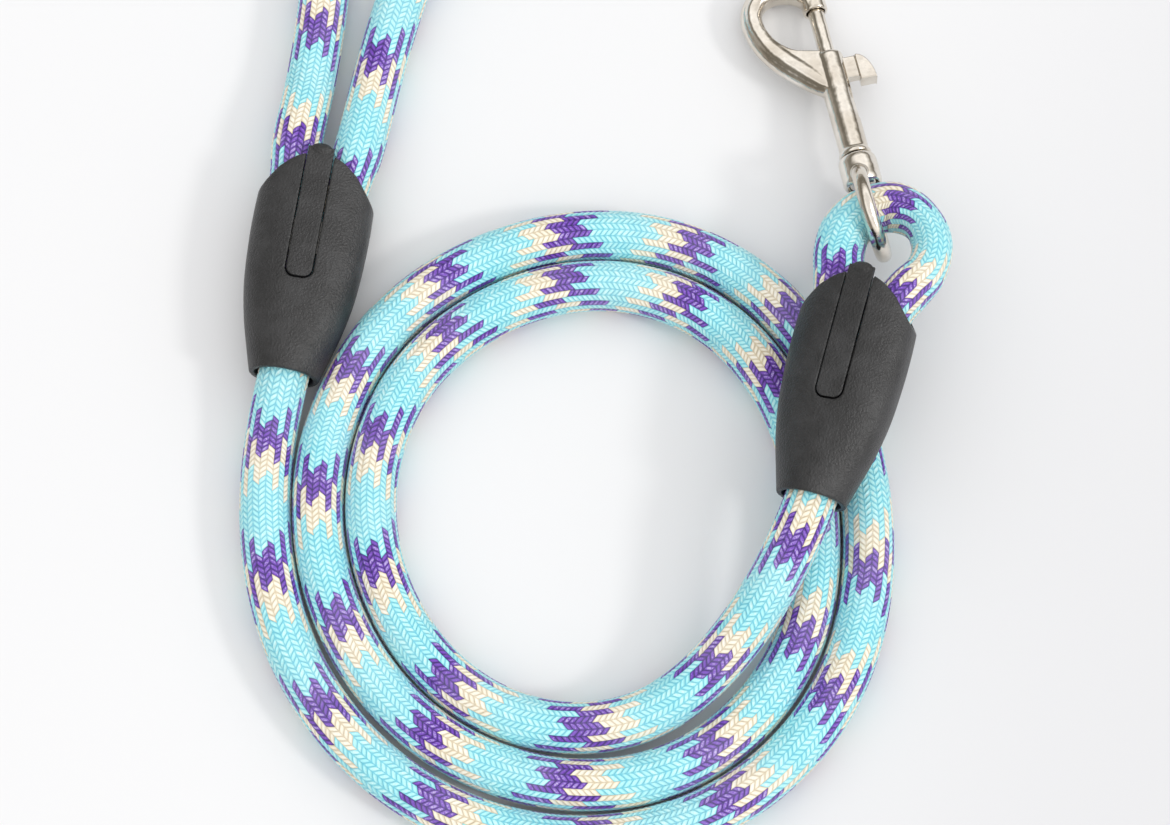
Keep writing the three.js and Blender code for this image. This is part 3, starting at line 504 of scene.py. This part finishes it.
def nickel_material():
    m = Material("nickel_plate")
    p = m.position()
    cast = m.noise(p, scale=260.0)
    fine = m.noise(p, scale=1700.0, detail=4.0, roughness=0.65)
    stain = m.noise(p, scale=110.0, detail=4.0, roughness=0.6)
    stained = m.ramp(stain, low=0.35, high=0.68)
    height = m.plus(m.times(cast, by=1.0), m.times(fine, by=0.05))
    return m.finish({
        "Base Color": m.mix(stained, srgb(214, 206, 194), srgb(236, 231, 223)),
        "Metallic": 1.0,
        "Roughness": m.plus(m.scaled(stain, by=0.06, plus=0.09), m.times(fine, by=0.07)),
        "Normal": m.bump(height, distance=0.00030, strength=0.7),
    })


def simple_metal(name, dark, light, roughness):
    m = Material(name)
    fine = m.noise(m.position(), scale=1500.0, detail=4.0, roughness=0.6)
    return m.finish({
        "Base Color": m.mix(fine, dark, light),
        "Metallic": 1.0,
        "Roughness": m.scaled(fine, by=0.2, plus=roughness),
        "Normal": m.bump(fine, distance=0.00005, strength=0.6),
    })


MAT_ROPE = rope_material()
MAT_SLEEVE = sleeve_material()
MAT_NICKEL = nickel_material()
MAT_BAND = simple_metal("crimp_band_metal", dark=srgb(150, 150, 148), light=srgb(190, 190, 186),
                        roughness=0.3)
MAT_SPRING = simple_metal("spring_wire", dark=srgb(120, 122, 126), light=srgb(170, 172, 176),
                          roughness=0.25)


# ------------------------------------------------------------------ frames of the rigid fittings
def aimed(origin, toward, roll):
    """Origin and u, v, w axes; v points at toward, and roll is in degrees about it."""
    o, t = np.array(origin, float), np.array(toward, float)
    v = (t - o) / np.linalg.norm(t - o)
    u = np.cross(v, [0, 0, 1.0])
    u /= np.linalg.norm(u)
    w = np.cross(u, v)
    r = math.radians(roll)
    return o, u * math.cos(r) + w * math.sin(r), v, w * math.cos(r) - u * math.sin(r)


HANDLE_SLEEVE = aimed([-70.44, 7.49, 10.15], [-61.78, 63.46, 8.85], roll=0)
SNAP_SLEEVE = aimed([51.51, -24.80, 21.50], [67.08, 31.66, 21.90], roll=18)
SNAP = aimed([69.9, 34.7, 16.3], [57.72, 91.65, 6.44], roll=0)


# ------------------------------------------------------------------ solids in a fitting's frame
def raw(points, faces):
    me = bpy.data.meshes.new("tmp")
    me.from_pydata([tuple(map(float, p)) for p in points], [],
                   [list(map(int, face)) for face in faces])
    me.update()
    return add_object("tmp", me)


def solid(points, faces):
    """A closed mesh object with its normals turned outward."""
    ob = raw(points, faces)
    bm = bmesh.new()
    bm.from_mesh(ob.data)
    bmesh.ops.recalc_face_normals(bm, faces=bm.faces)
    bm.to_mesh(ob.data)
    bm.free()
    return ob


def tube(rings, closed=False):
    """Skin through equal rings of points; the ends are filled unless it closes on itself."""
    n, m = len(rings), len(rings[0])
    faces = []
    for i in range(n if closed else n - 1):
        a, b = i * m, ((i + 1) % n) * m
        for j in range(m):
            k = (j + 1) % m
            faces.append([a + j, a + k, b + k, b + j])
    if not closed:
        faces.append(list(range(m))[::-1])
        faces.append([(n - 1) * m + j for j in range(m)])
    return solid(np.concatenate(rings), faces)


def circle(centre, radius, x_axis, y_axis, sides):
    return np.array([centre + radius * (math.cos(b) * x_axis + math.sin(b) * y_axis)
                     for b in np.linspace(0, TURN, sides, endpoint=False)])


def loft(rows, sides, steps):
    """Superellipse sections along v; rows of (v, half width, half height, power)."""
    rows = np.array(rows, float)
    a = TURN * np.arange(sides) / sides
    c, s = np.cos(a), np.sin(a)
    rings = []
    for v in np.linspace(rows[0, 0], rows[-1, 0], steps + 1):
        width, height, power = (float(smooth_interp(v, rows, q)) for q in (1, 2, 3))
        k = (np.abs(c) ** power + np.abs(s) ** power) ** (-1 / power)
        rings.append(np.stack([width * c * k, np.full(sides, v), height * s * k], -1))
    return tube(rings)


def lathe(profile, sides):
    """Turned about the v axis; profile rows of (radius, v), starting and ending on the axis."""
    points = [[0, profile[0][1], 0]]
    for r, v in profile[1:-1]:
        points += [[r * math.cos(t), v, r * math.sin(t)] for t in TURN * np.arange(sides) / sides]
    points.append([0, profile[-1][1], 0])
    m = len(profile) - 2
    last = 1 + (m - 1) * sides
    faces = []
    for j in range(sides):
        k = (j + 1) % sides
        faces.append([0, 1 + j, 1 + k])
        for i in range(m - 1):
            a, b = 1 + i * sides, 1 + (i + 1) * sides
            faces.append([a + j, b + j, b + k, a + k])
        faces.append([last + j, len(points) - 1, last + k])
    return solid(points, faces)


def rod(radius, v, sides):
    """A plain cylinder on the v axis."""
    return lathe([(0, v[0]), (radius, v[0]), (radius, v[1]), (0, v[1])], sides)


def prism(outline, w):
    """An outline of (u, v) drawn out along w."""
    n = len(outline)
    points = [[x, y, z] for z in w for x, y in outline]
    faces = [list(range(n))[::-1], [n + i for i in range(n)]]
    faces += [[i, (i + 1) % n, n + (i + 1) % n, n + i] for i in range(n)]
    return solid(points, faces)


def block(u, v, w):
    return prism([(u[0], v[0]), (u[1], v[0]), (u[1], v[1]), (u[0], v[1])], w)


def apply_all(ob):
    graph = bpy.context.evaluated_depsgraph_get()
    me = bpy.data.meshes.new_from_object(ob.evaluated_get(graph))
    old = ob.data
    ob.modifiers.clear()
    ob.data = me
    bpy.data.meshes.remove(old)
    return ob


def boolean(ob, tool, operation):
    modifier = ob.modifiers.new("b", "BOOLEAN")
    modifier.operation = operation
    modifier.solver = "EXACT"
    modifier.object = tool
    apply_all(ob)
    bpy.data.objects.remove(tool)
    return ob


def cut(ob, *tools):
    for tool in tools:
        boolean(ob, tool, "DIFFERENCE")
    return ob


def fuse(*obs):
    """One object of overlapping closed solids; a voxel remesh then makes them one skin."""
    bm = bmesh.new()
    for ob in obs:
        bm.from_mesh(ob.data)
    me = bpy.data.meshes.new("fused")
    bm.to_mesh(me)
    bm.free()
    for ob in obs:
        bpy.data.objects.remove(ob)
    return add_object("fused", me)


def soften(ob, voxel, iterations):
    """Voxel remesh, then smoothing that rounds every edge by about a voxel or two."""
    remesh = ob.modifiers.new("r", "REMESH")
    remesh.mode = "VOXEL"
    remesh.voxel_size = voxel
    remesh.adaptivity = 0.0
    smooth = ob.modifiers.new("s", "SMOOTH")
    smooth.factor = 0.5
    smooth.iterations = iterations
    return apply_all(ob)


def keep_largest(ob):
    """Drop specks that a remesh can leave."""
    me = ob.data
    edges = np.zeros(len(me.edges) * 2, np.int64)
    me.edges.foreach_get("vertices", edges)
    a, b = edges.reshape(-1, 2).T
    # spread the lowest vertex number over each connected part
    label = np.arange(len(me.vertices))
    while True:
        low = np.minimum(label[a], label[b])
        spread = label.copy()
        np.minimum.at(spread, a, low)
        np.minimum.at(spread, b, low)
        spread = spread[spread]
        if (spread == label).all():
            break
        label = spread
    parts, counts = np.unique(label, return_counts=True)
    if len(parts) > 1:
        bm = bmesh.new()
        bm.from_mesh(me)
        bm.verts.ensure_lookup_table()
        specks = [bm.verts[i] for i in np.where(label != parts[np.argmax(counts)])[0]]
        bmesh.ops.delete(bm, geom=specks, context="VERTS")
        bm.to_mesh(me)
        bm.free()
    return ob


def get_points(ob):
    points = np.zeros(len(ob.data.vertices) * 3)
    ob.data.vertices.foreach_get("co", points)
    return points.reshape(-1, 3)


def set_points(ob, points):
    ob.data.vertices.foreach_set("co", points.astype(np.float32).ravel())


def place(ob, name, fitting, material, body, replaced):
    """Names a finished solid and moves it from its fitting's frame to the row frame."""
    o, u, v, w = fitting
    p = get_points(ob)
    set_points(ob, to_row(o + p[:, :1] * u + p[:, 1:2] * v + p[:, 2:3] * w))
    ob.data.update()
    ob.name = name
    ob.data.name = name
    ob.data.materials.clear()
    ob.data.materials.append(material)
    ob.data.polygons.foreach_set("use_smooth", np.full(len(ob.data.polygons), True))
    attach(ob, body)
    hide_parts(replaced)
    return ob


# ------------------------------------------------------------------ sleeves
# v, half width, half height, superellipse power
SLEEVE_OUT = [
    [0, 8.2, 8.1, 2], [5, 9.65, 8.22, 2.1], [12, 11.55, 8.3, 2.3], [20, 13.05, 8.36, 2.5],
    [30, 13.85, 8.4, 2.6], [41, 13.95, 8.4, 2.6], [46, 13.7, 8.35, 2.6], [52, 12.9, 8.2, 2.6],
    [58, 11.9, 8.0, 2.6],
]
SLEEVE_IN = [
    [-1, 6.9, 6.9, 2], [6, 7.2, 6.8, 2], [14, 9.7, 6.8, 2.4], [21, 11.5, 6.85, 3],
    [27, 12.35, 6.9, 3], [44, 12.5, 6.9, 3], [51, 13.2, 6.9, 3], [60, 13.8, 7.0, 3],
]
# (u, v) of what is cut off the +v end on the +u side, and mirrored on the other
SHOULDER_CUT = [(20, 43.4), (13.8, 43.5), (11.7, 46.2), (9.2, 49.3), (6.0, 51.8), (3.6, 52.9),
                (0, 53.2), (0, 70), (20, 70)]
SLEEVE_VOXEL = 0.29
SLOT_WIDTH, SLOT_START, SLOT_CORNER = 6.7, 22.2, 2.3
KEY_WIDTH, KEY_START, KEY_CORNER = 6.15, 22.5, 2.05
KEY_END = 54.9
KEY_VOXEL = 0.16
KEY_PROUD = 0.12  # the key's crown stands this far outside the sleeve's
# the hull that trims the key past the sleeve's last used row
KEY_HULL_END = [[56.5, 11.9, 8.1, 2.6], [61, 10.5, 7.6, 2.6]]
# the key's head: a ball flattened at its poles, then scaled and moved
HEAD_R, HEAD_POLE, HEAD_ARC = 2.75, 2.6, 1.2
HEAD_SCALE, HEAD_CENTRE = [1.0, 0.62, 0.42], [0, 54.3, 7.5]


def slot_outline(width, start, end, corner):
    """A strip along v with the two corners at its lower end rounded."""
    half = width / 2
    right = [(half - corner + corner * math.cos(a), start + corner - corner * math.sin(a))
             for a in np.linspace(0, math.pi / 2, 9)]
    return [(half, end)] + right + [(-x, y) for x, y in right[::-1]] + [(-half, end)]


def sleeve():
    s = cut(loft(SLEEVE_OUT, sides=120, steps=70), loft(SLEEVE_IN, sides=72, steps=60))
    for k in (-1, 1):
        s = cut(s, prism([(k * x, y) for x, y in SHOULDER_CUT], w=(-12, 12)))
    s = cut(s, prism(slot_outline(SLOT_WIDTH, SLOT_START, 60, SLOT_CORNER), w=(4.5, 12)))
    return keep_largest(soften(s, SLEEVE_VOXEL, 3))


def key_head():
    arc = [(HEAD_R * math.cos(a), HEAD_R * math.sin(a))
           for a in np.linspace(-HEAD_ARC, HEAD_ARC, 12)]
    head = lathe([(0, -HEAD_POLE)] + arc + [(0, HEAD_POLE)], sides=40)
    set_points(head, get_points(head) * HEAD_SCALE + HEAD_CENTRE)
    return head


def sleeve_key():
    """The strip in the slot, with a rounded head and a web down between the rope's legs."""
    key = prism(slot_outline(KEY_WIDTH, KEY_START, KEY_END, KEY_CORNER), w=(7.15, 9.4))
    web = block(u=(-0.65, 0.65), v=(49.5, 55.3), w=(-6.4, 7.3))
    key = boolean(key, web, "UNION")
    # crowned by a slightly raised copy of the sleeve's outside, which starts 6 mm lower
    hull = [[v, a + KEY_PROUD, b + KEY_PROUD, power] for v, a, b, power in SLEEVE_OUT[:-1]]
    hull[0][0] -= 6
    key = boolean(key, loft(hull + KEY_HULL_END, sides=120, steps=60), "INTERSECT")
    return keep_largest(soften(boolean(key, key_head(), "UNION"), KEY_VOXEL, 3))


# ------------------------------------------------------------------ bolt snap
METAL_VOXEL, BOLT_VOXEL = 0.18, 0.14
EYE_R, EYE_WIRE, EYE_V = 10.1, 1.9, 12.0  # the eye's ring: radius, wire radius, centre along v
EYE_LEAN = 0.2  # radians about v
BORE_R = 2.35

# turned parts: radius, v
EYE_COLLAR = [(0, 19.3), (3.95, 19.3), (4.45, 19.7), (4.65, 20.5), (4.65, 25.6), (4.5, 26.4),
              (4.15, 26.95), (0, 27.0)]
STEM = [(0, 19.5), (2.7, 19.5), (3.3, 20.0), (3.3, 20.85), (1.98, 20.86), (1.98, 28.6), (0, 28.6)]
BARREL = [(0, 27.4), (3.6, 27.4), (3.9, 27.7), (3.9, 28.3), (3.55, 28.9), (3.55, 55.2),
          (3.3, 55.7), (2.9, 55.8), (0, 55.8)]
FERRULE = [(0, 68.1), (2.8, 68.1), (3.05, 68.4), (3.05, 71.0), (2.7, 72.0), (0, 72.4)]
BOLT = [(0, 46.6), (1.6, 46.6), (1.95, 47.0), (1.95, 69.4), (1.75, 70.0), (1.3, 70.4), (0, 70.5)]

# (u, v) outline of the web between the barrel and the arm
WEB = [
    (-2.0, 45.2), (-4.2, 48.2), (-7.6, 52.0), (-11.2, 56.4), (-13.8, 60.4), (-15.0, 64.9),
    (-13.2, 64.9), (-12.1, 62.1), (-10.6, 60.1), (-8.8, 58.5), (-7.1, 57.6), (2.4, 55.3),
    (2.4, 45.2),
]
# centreline of the hook's arm: u, v, half width in the hook plane, half thickness
ARM = [
    (-1.6, 45.9, 1.6, 2.6), (-3.9, 48.5, 2.5, 2.9), (-7.0, 52.0, 2.95, 3.05),
    (-10.8, 56.3, 3.0, 3.1), (-13.8, 60.9, 2.85, 3.1), (-15.5, 66.0, 2.65, 3.05),
    (-15.4, 70.6, 2.65, 3.0), (-12.9, 74.2, 2.75, 3.0), (-8.5, 75.6, 2.65, 2.95),
    (-4.0, 74.7, 2.7, 2.9), (-1.0, 72.5, 2.8, 2.9), (-0.1, 70.3, 2.85, 2.85),
    (0.0, 68.2, 2.75, 2.75),
]
# upper half of the arm's section: across (outer side positive) and up, as shares of the halves
ARM_SECTION = [
    (-1.0, 0.0), (-0.97, 0.35), (-0.84, 0.68), (-0.60, 0.93), (-0.35, 1.0), (0.20, 1.0),
    (0.38, 0.90), (0.62, 0.66), (0.70, 0.62), (0.90, 0.40), (1.0, 0.16),
]
# the thumb knob: centre and radii of the quarter ellipse, and its straight lower edge
KNOB_U, KNOB_V, KNOB_RU, KNOB_RV = 6.1, 46.5, 3.9, 7.5
KNOB_EDGE = [(KNOB_U, 46.9), (9.8, 46.9)]

SPRING_R, SPRING_WIRE, SPRING_V0, SPRING_V1 = 1.62, 0.31, 33.55, 45.9
SPRING_TURNS, STEPS_PER_TURN = 5, 40


def open_spline(rows, n):
    """Catmull-Rom curve through the rows, n steps to a span."""
    P = padded(np.array(rows, float))
    out = []
    for p0, p1, p2, p3 in zip(P, P[1:], P[2:], P[3:]):
        for t in (q / n for q in range(n)):
            out.append(0.5 * ((2 * p1) + (p2 - p0) * t + (2 * p0 - 5 * p1 + 4 * p2 - p3) * t * t
                              + (3 * p1 - p0 - 3 * p2 + p3) * t**3))
    out.append(P[-2])
    return np.array(out)


def arm():
    line = open_spline(ARM, 8)
    centres, halves = line[:, :2], line[:, 2:]
    travel = np.gradient(centres, axis=0)
    travel /= np.linalg.norm(travel, axis=1)[:, None]
    outer = np.stack([-travel[:, 1], travel[:, 0]], -1)  # to the left of travel
    section = ARM_SECTION + [(a, -b) for a, b in ARM_SECTION[:0:-1]]
    return tube([
        np.array([[p[0] + o[0] * a * h[0], p[1] + o[1] * a * h[0], b * h[1]] for a, b in section])
        for p, h, o in zip(centres, halves, outer)])


def snap_body():
    body = fuse(prism(WEB, w=(-2.75, 2.75)), lathe(BARREL, sides=72), lathe(STEM, sides=48),
                lathe(FERRULE, sides=56), arm())
    body = soften(body, METAL_VOXEL, 3)
    barrel_bore = rod(BORE_R, v=(32.8, 58), sides=56)
    ferrule_bore = rod(2.3, v=(67.0, 71.0), sides=56)
    knob_slot = block(u=(1.0, 6), v=(37.2, 54.2), w=(-1.6, 1.6))
    body = cut(body, barrel_bore, ferrule_bore, knob_slot)
    return keep_largest(soften(body, METAL_VOXEL, 2))


def swivel_eye():
    up = np.array([-math.sin(EYE_LEAN), 0, math.cos(EYE_LEAN)])
    side = np.array([math.cos(EYE_LEAN), 0, math.sin(EYE_LEAN)])
    rings = []
    for a in np.linspace(0, TURN, 96, endpoint=False):
        out = np.array([0, math.cos(a), 0]) + math.sin(a) * up
        centre = np.array([0, EYE_V, 0]) + EYE_R * out
        rings.append(circle(centre, EYE_WIRE, out, side, sides=32))
    eye = fuse(tube(rings, closed=True), lathe(EYE_COLLAR, sides=64))
    eye = soften(eye, METAL_VOXEL, 2)
    stem_bore = rod(BORE_R, v=(10, 31), sides=48)
    stem_head_room = rod(3.7, v=(12, 21.2), sides=48)
    return keep_largest(soften(cut(eye, stem_bore, stem_head_room), METAL_VOXEL, 3))


def snap_bolt():
    return soften(lathe(BOLT, sides=56), BOLT_VOXEL, 2)


def thumb_knob():
    arc = [(KNOB_U + KNOB_RU * math.cos(a), KNOB_V + KNOB_RV * math.sin(a))
           for a in np.linspace(0, math.pi / 2, 14)]
    neck = block(u=(1.2, 6.4), v=(48.2, 54.0), w=(-1.25, 1.25))
    return keep_largest(soften(fuse(prism(KNOB_EDGE + arc, w=(-1.9, 1.9)), neck), BOLT_VOXEL, 3))


def spring_coil():
    """A wire wound about the v axis."""
    n = SPRING_TURNS * STEPS_PER_TURN
    rings = []
    for i in range(n + 1):
        a = TURN * SPRING_TURNS * i / n
        out = np.array([math.cos(a), 0.0, math.sin(a)])
        v = SPRING_V0 + (SPRING_V1 - SPRING_V0) * i / n
        centre = SPRING_R * out + np.array([0, v, 0])
        rings.append(circle(centre, SPRING_WIRE, out, np.array([0, 1.0, 0]), sides=14))
    return tube(rings)


# ------------------------------------------------------------------ the lead
def rigid(name, start, end, body, *replaced):
    ob = rope_piece(name, start, end)
    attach(ob, body)
    if replaced:
        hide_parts(*replaced)


def bending(name, station):
    start, end = station - HALF_BEND, station + HALF_BEND
    ob = rope_piece(name, start, end)
    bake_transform(ob)


coil_cuts = np.linspace(HANDLE_MOUTH + HALF_BEND, SNAP_MOUTH - HALF_BEND, 5)
for i in range(4):
    rigid("coil_rope_%d" % (i + 1), coil_cuts[i], coil_cuts[i + 1], "coil",
          *(("coil_jacket", "coil_core") if i == 0 else ()))
rigid("handle_tail_rope", 0.0, TAIL_BEND - HALF_BEND, "handle_sleeve",
      "handle_tail_jacket", "handle_tail_core")
bending("handle_tail_bend", TAIL_BEND)
loop_middle = (TAIL_BEND + LEG_BEND) / 2
rigid("hand_loop_rope_1", TAIL_BEND + HALF_BEND, loop_middle, "handle_loop",
      "handle_loop_jacket", "handle_loop_core")
rigid("hand_loop_rope_2", loop_middle, LEG_BEND - HALF_BEND, "handle_loop")
bending("handle_leg_bend", LEG_BEND)
rigid("handle_end_rope", LEG_BEND + HALF_BEND, HANDLE_MOUTH - HALF_BEND, "handle_sleeve",
      "handle_end_jacket", "handle_end_core")
bending("handle_mouth_bend", HANDLE_MOUTH)
bending("snap_mouth_bend", SNAP_MOUTH)
rigid("snap_end_rope", SNAP_MOUTH + HALF_BEND, LENGTH - 0.2, "snap_sleeve",
      "snap_end_jacket", "snap_end_core")

for body, fitting in (("handle_sleeve", HANDLE_SLEEVE), ("snap_sleeve", SNAP_SLEEVE)):
    place(sleeve(), body + "_shell", fitting, MAT_SLEEVE, body, body)
    place(sleeve_key(), body + "_key_strip", fitting, MAT_SLEEVE, body, body + "_key")
for build, name, body, replaced in (
    (swivel_eye, "swivel_eye_ring", "swivel", "swivel_eye"),
    (snap_body, "snap_hook_body", "snap", "snap_body"),
    (snap_bolt, "snap_bolt_rod", "bolt", "snap_bolt"),
    (thumb_knob, "thumb_knob_lug", "bolt", "thumb_knob"),
):
    place(build(), name, SNAP, MAT_NICKEL, body, replaced)

for node in ("handle_crimp_band", "snap_crimp_band"):
    nodes = frame["nodes"] if isinstance(frame["nodes"], dict) else bpy.data.objects
    nodes[node].data.materials.clear()
    nodes[node].data.materials.append(MAT_BAND)

# the spring coil, on the snap body, with a mesh of its own
spring = place(spring_coil(), "bolt_spring_coil", SNAP, MAT_SPRING, "snap",
               "bolt_spring")
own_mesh(spring)

# ------------------------------------------------------------------ floor, light and camera
FLOOR_HALF, FLOOR_Z = 4, -0.0002  # m
TARGET = Vector(to_row(np.array([0.0, 0.0, ROPE_R])))
CAMERA_AT = np.array([0.0, -206.843, 777.949])  # layout frame, mm
CAMERA_TILT = 15.0  # degrees from straight down


def floor_material():
    """Pale and faintly clouded, with painted shade that makes it a little darker towards +X."""
    m = Material("pale_floor")
    cloud = m.noise(m.position(), scale=3.0)
    x, y, _ = m.separate(m.position())
    # painted shade: the floor grows darker towards +X and a little towards -Y
    painted_falloff = m.ramp(m.scaled(y, by=-0.35, plus=x), low=0.02, high=0.20)
    pale = m.mix(cloud, (0.81, 0.81, 0.814, 1), (0.83, 0.83, 0.832, 1))
    return m.finish({
        "Base Color": m.mix(painted_falloff, pale, (0.735, 0.735, 0.745, 1)),
        "Roughness": 0.6,
        "Specular IOR Level": 0.2,
    })


def add_floor():
    me = bpy.data.meshes.new("floor")
    corners = [(x * FLOOR_HALF, y * FLOOR_HALF, FLOOR_Z)
               for x, y in ((-1, -1), (1, -1), (1, 1), (-1, 1))]
    me.from_pydata(corners, [], [(0, 1, 2, 3)])
    floor = add_object("floor", me)
    me.materials.append(floor_material())


def sky(graph, height, stops, strength):
    """A background coloured by one value; stops of (value, colour)."""
    ramp = graph.add("ValToRGB", {0: height})
    elements = ramp.color_ramp.elements
    while len(elements) < len(stops):
        elements.new(0.5)
    for element, (position, _) in zip(elements, stops):
        element.position = position
    for element, (_, colour) in zip(elements, stops):
        element.color = (*colour, 1)
    return graph.add("Background", {0: ramp.outputs[0], 1: strength}).outputs[0]


def add_world():
    world = bpy.data.worlds.new("studio")
    bpy.context.scene.world = world
    world.use_nodes = True
    g = Graph(world.node_tree)
    x, _, z = g.separate(g.add("TexCoord", {}).outputs["Generated"])
    soft = sky(g, z, strength=1.25, stops=[
        (0.0, (0.36, 0.36, 0.37)), (0.35, (0.55, 0.55, 0.56)), (0.7, (0.93, 0.93, 0.935)),
        (1.0, (1.0, 1.0, 1.0))])
    # what polished surfaces see: a bright band that sits lower towards +X, a dimmer ceiling
    # and dark walls
    room = sky(g, g.scaled(x, by=0.30, plus=z), strength=1.38, stops=[
        (0.0, (0.30, 0.28, 0.25)), (0.12, (0.17, 0.155, 0.13)), (0.40, (0.14, 0.13, 0.11)),
        (0.56, (0.50, 0.48, 0.45)), (0.70, (0.98, 0.965, 0.945)), (0.86, (0.74, 0.72, 0.695)),
        (1.0, (0.70, 0.68, 0.66))])
    ray = g.add("LightPath", {}).outputs
    lit = g.add("MixShader", {0: ray["Is Glossy Ray"], 1: soft, 2: room}).outputs[0]
    # a pale backdrop behind the floor for low views
    back = g.add("Background", {0: (0.90, 0.90, 0.905, 1)}).outputs[0]
    seen = g.add("MixShader", {0: ray["Is Camera Ray"], 1: lit, 2: back}).outputs[0]
    g.add("OutputWorld", {0: seen})


def add_sun(name, energy, spread, elevation, azimuth):
    """A sun aimed at TARGET; angles in degrees, azimuth from +X towards +Y."""
    data = bpy.data.lights.new(name, "SUN")
    data.energy = energy
    data.angle = math.radians(spread)
    el, az = math.radians(elevation), math.radians(azimuth)
    toward = Vector((math.cos(el) * math.cos(az), math.cos(el) * math.sin(az), math.sin(el)))
    sun = add_object(name, data)
    sun.location = TARGET + toward
    sun.rotation_mode = "QUATERNION"
    sun.rotation_quaternion = (-toward).to_track_quat("-Z", "Y")
    return sun


def add_camera():
    data = bpy.data.cameras.new("camera")
    data.sensor_width = 36.0
    data.lens = 105.0
    data.clip_start, data.clip_end = 0.05, 20.0
    camera = add_object("camera", data)
    camera.location = Vector(to_row(CAMERA_AT))
    camera.rotation_euler = (math.radians(CAMERA_TILT), 0.0, 0.0)
    bpy.context.scene.camera = camera


add_floor()
add_world()
key_light = add_sun("key", energy=0.72, spread=9, elevation=37, azimuth=-22)
key_light.data.color = (1.0, 0.985, 0.965)
# a broad reflector that only shows as a sheen on the shoulders of the smooth pieces
reflector = add_sun("reflector", energy=0.85, spread=26, elevation=52, azimuth=2)
reflector.visible_diffuse = False
add_camera()
bpy.context.scene.view_settings.view_transform = "Standard"
bpy.context.scene.view_settings.look = "None"
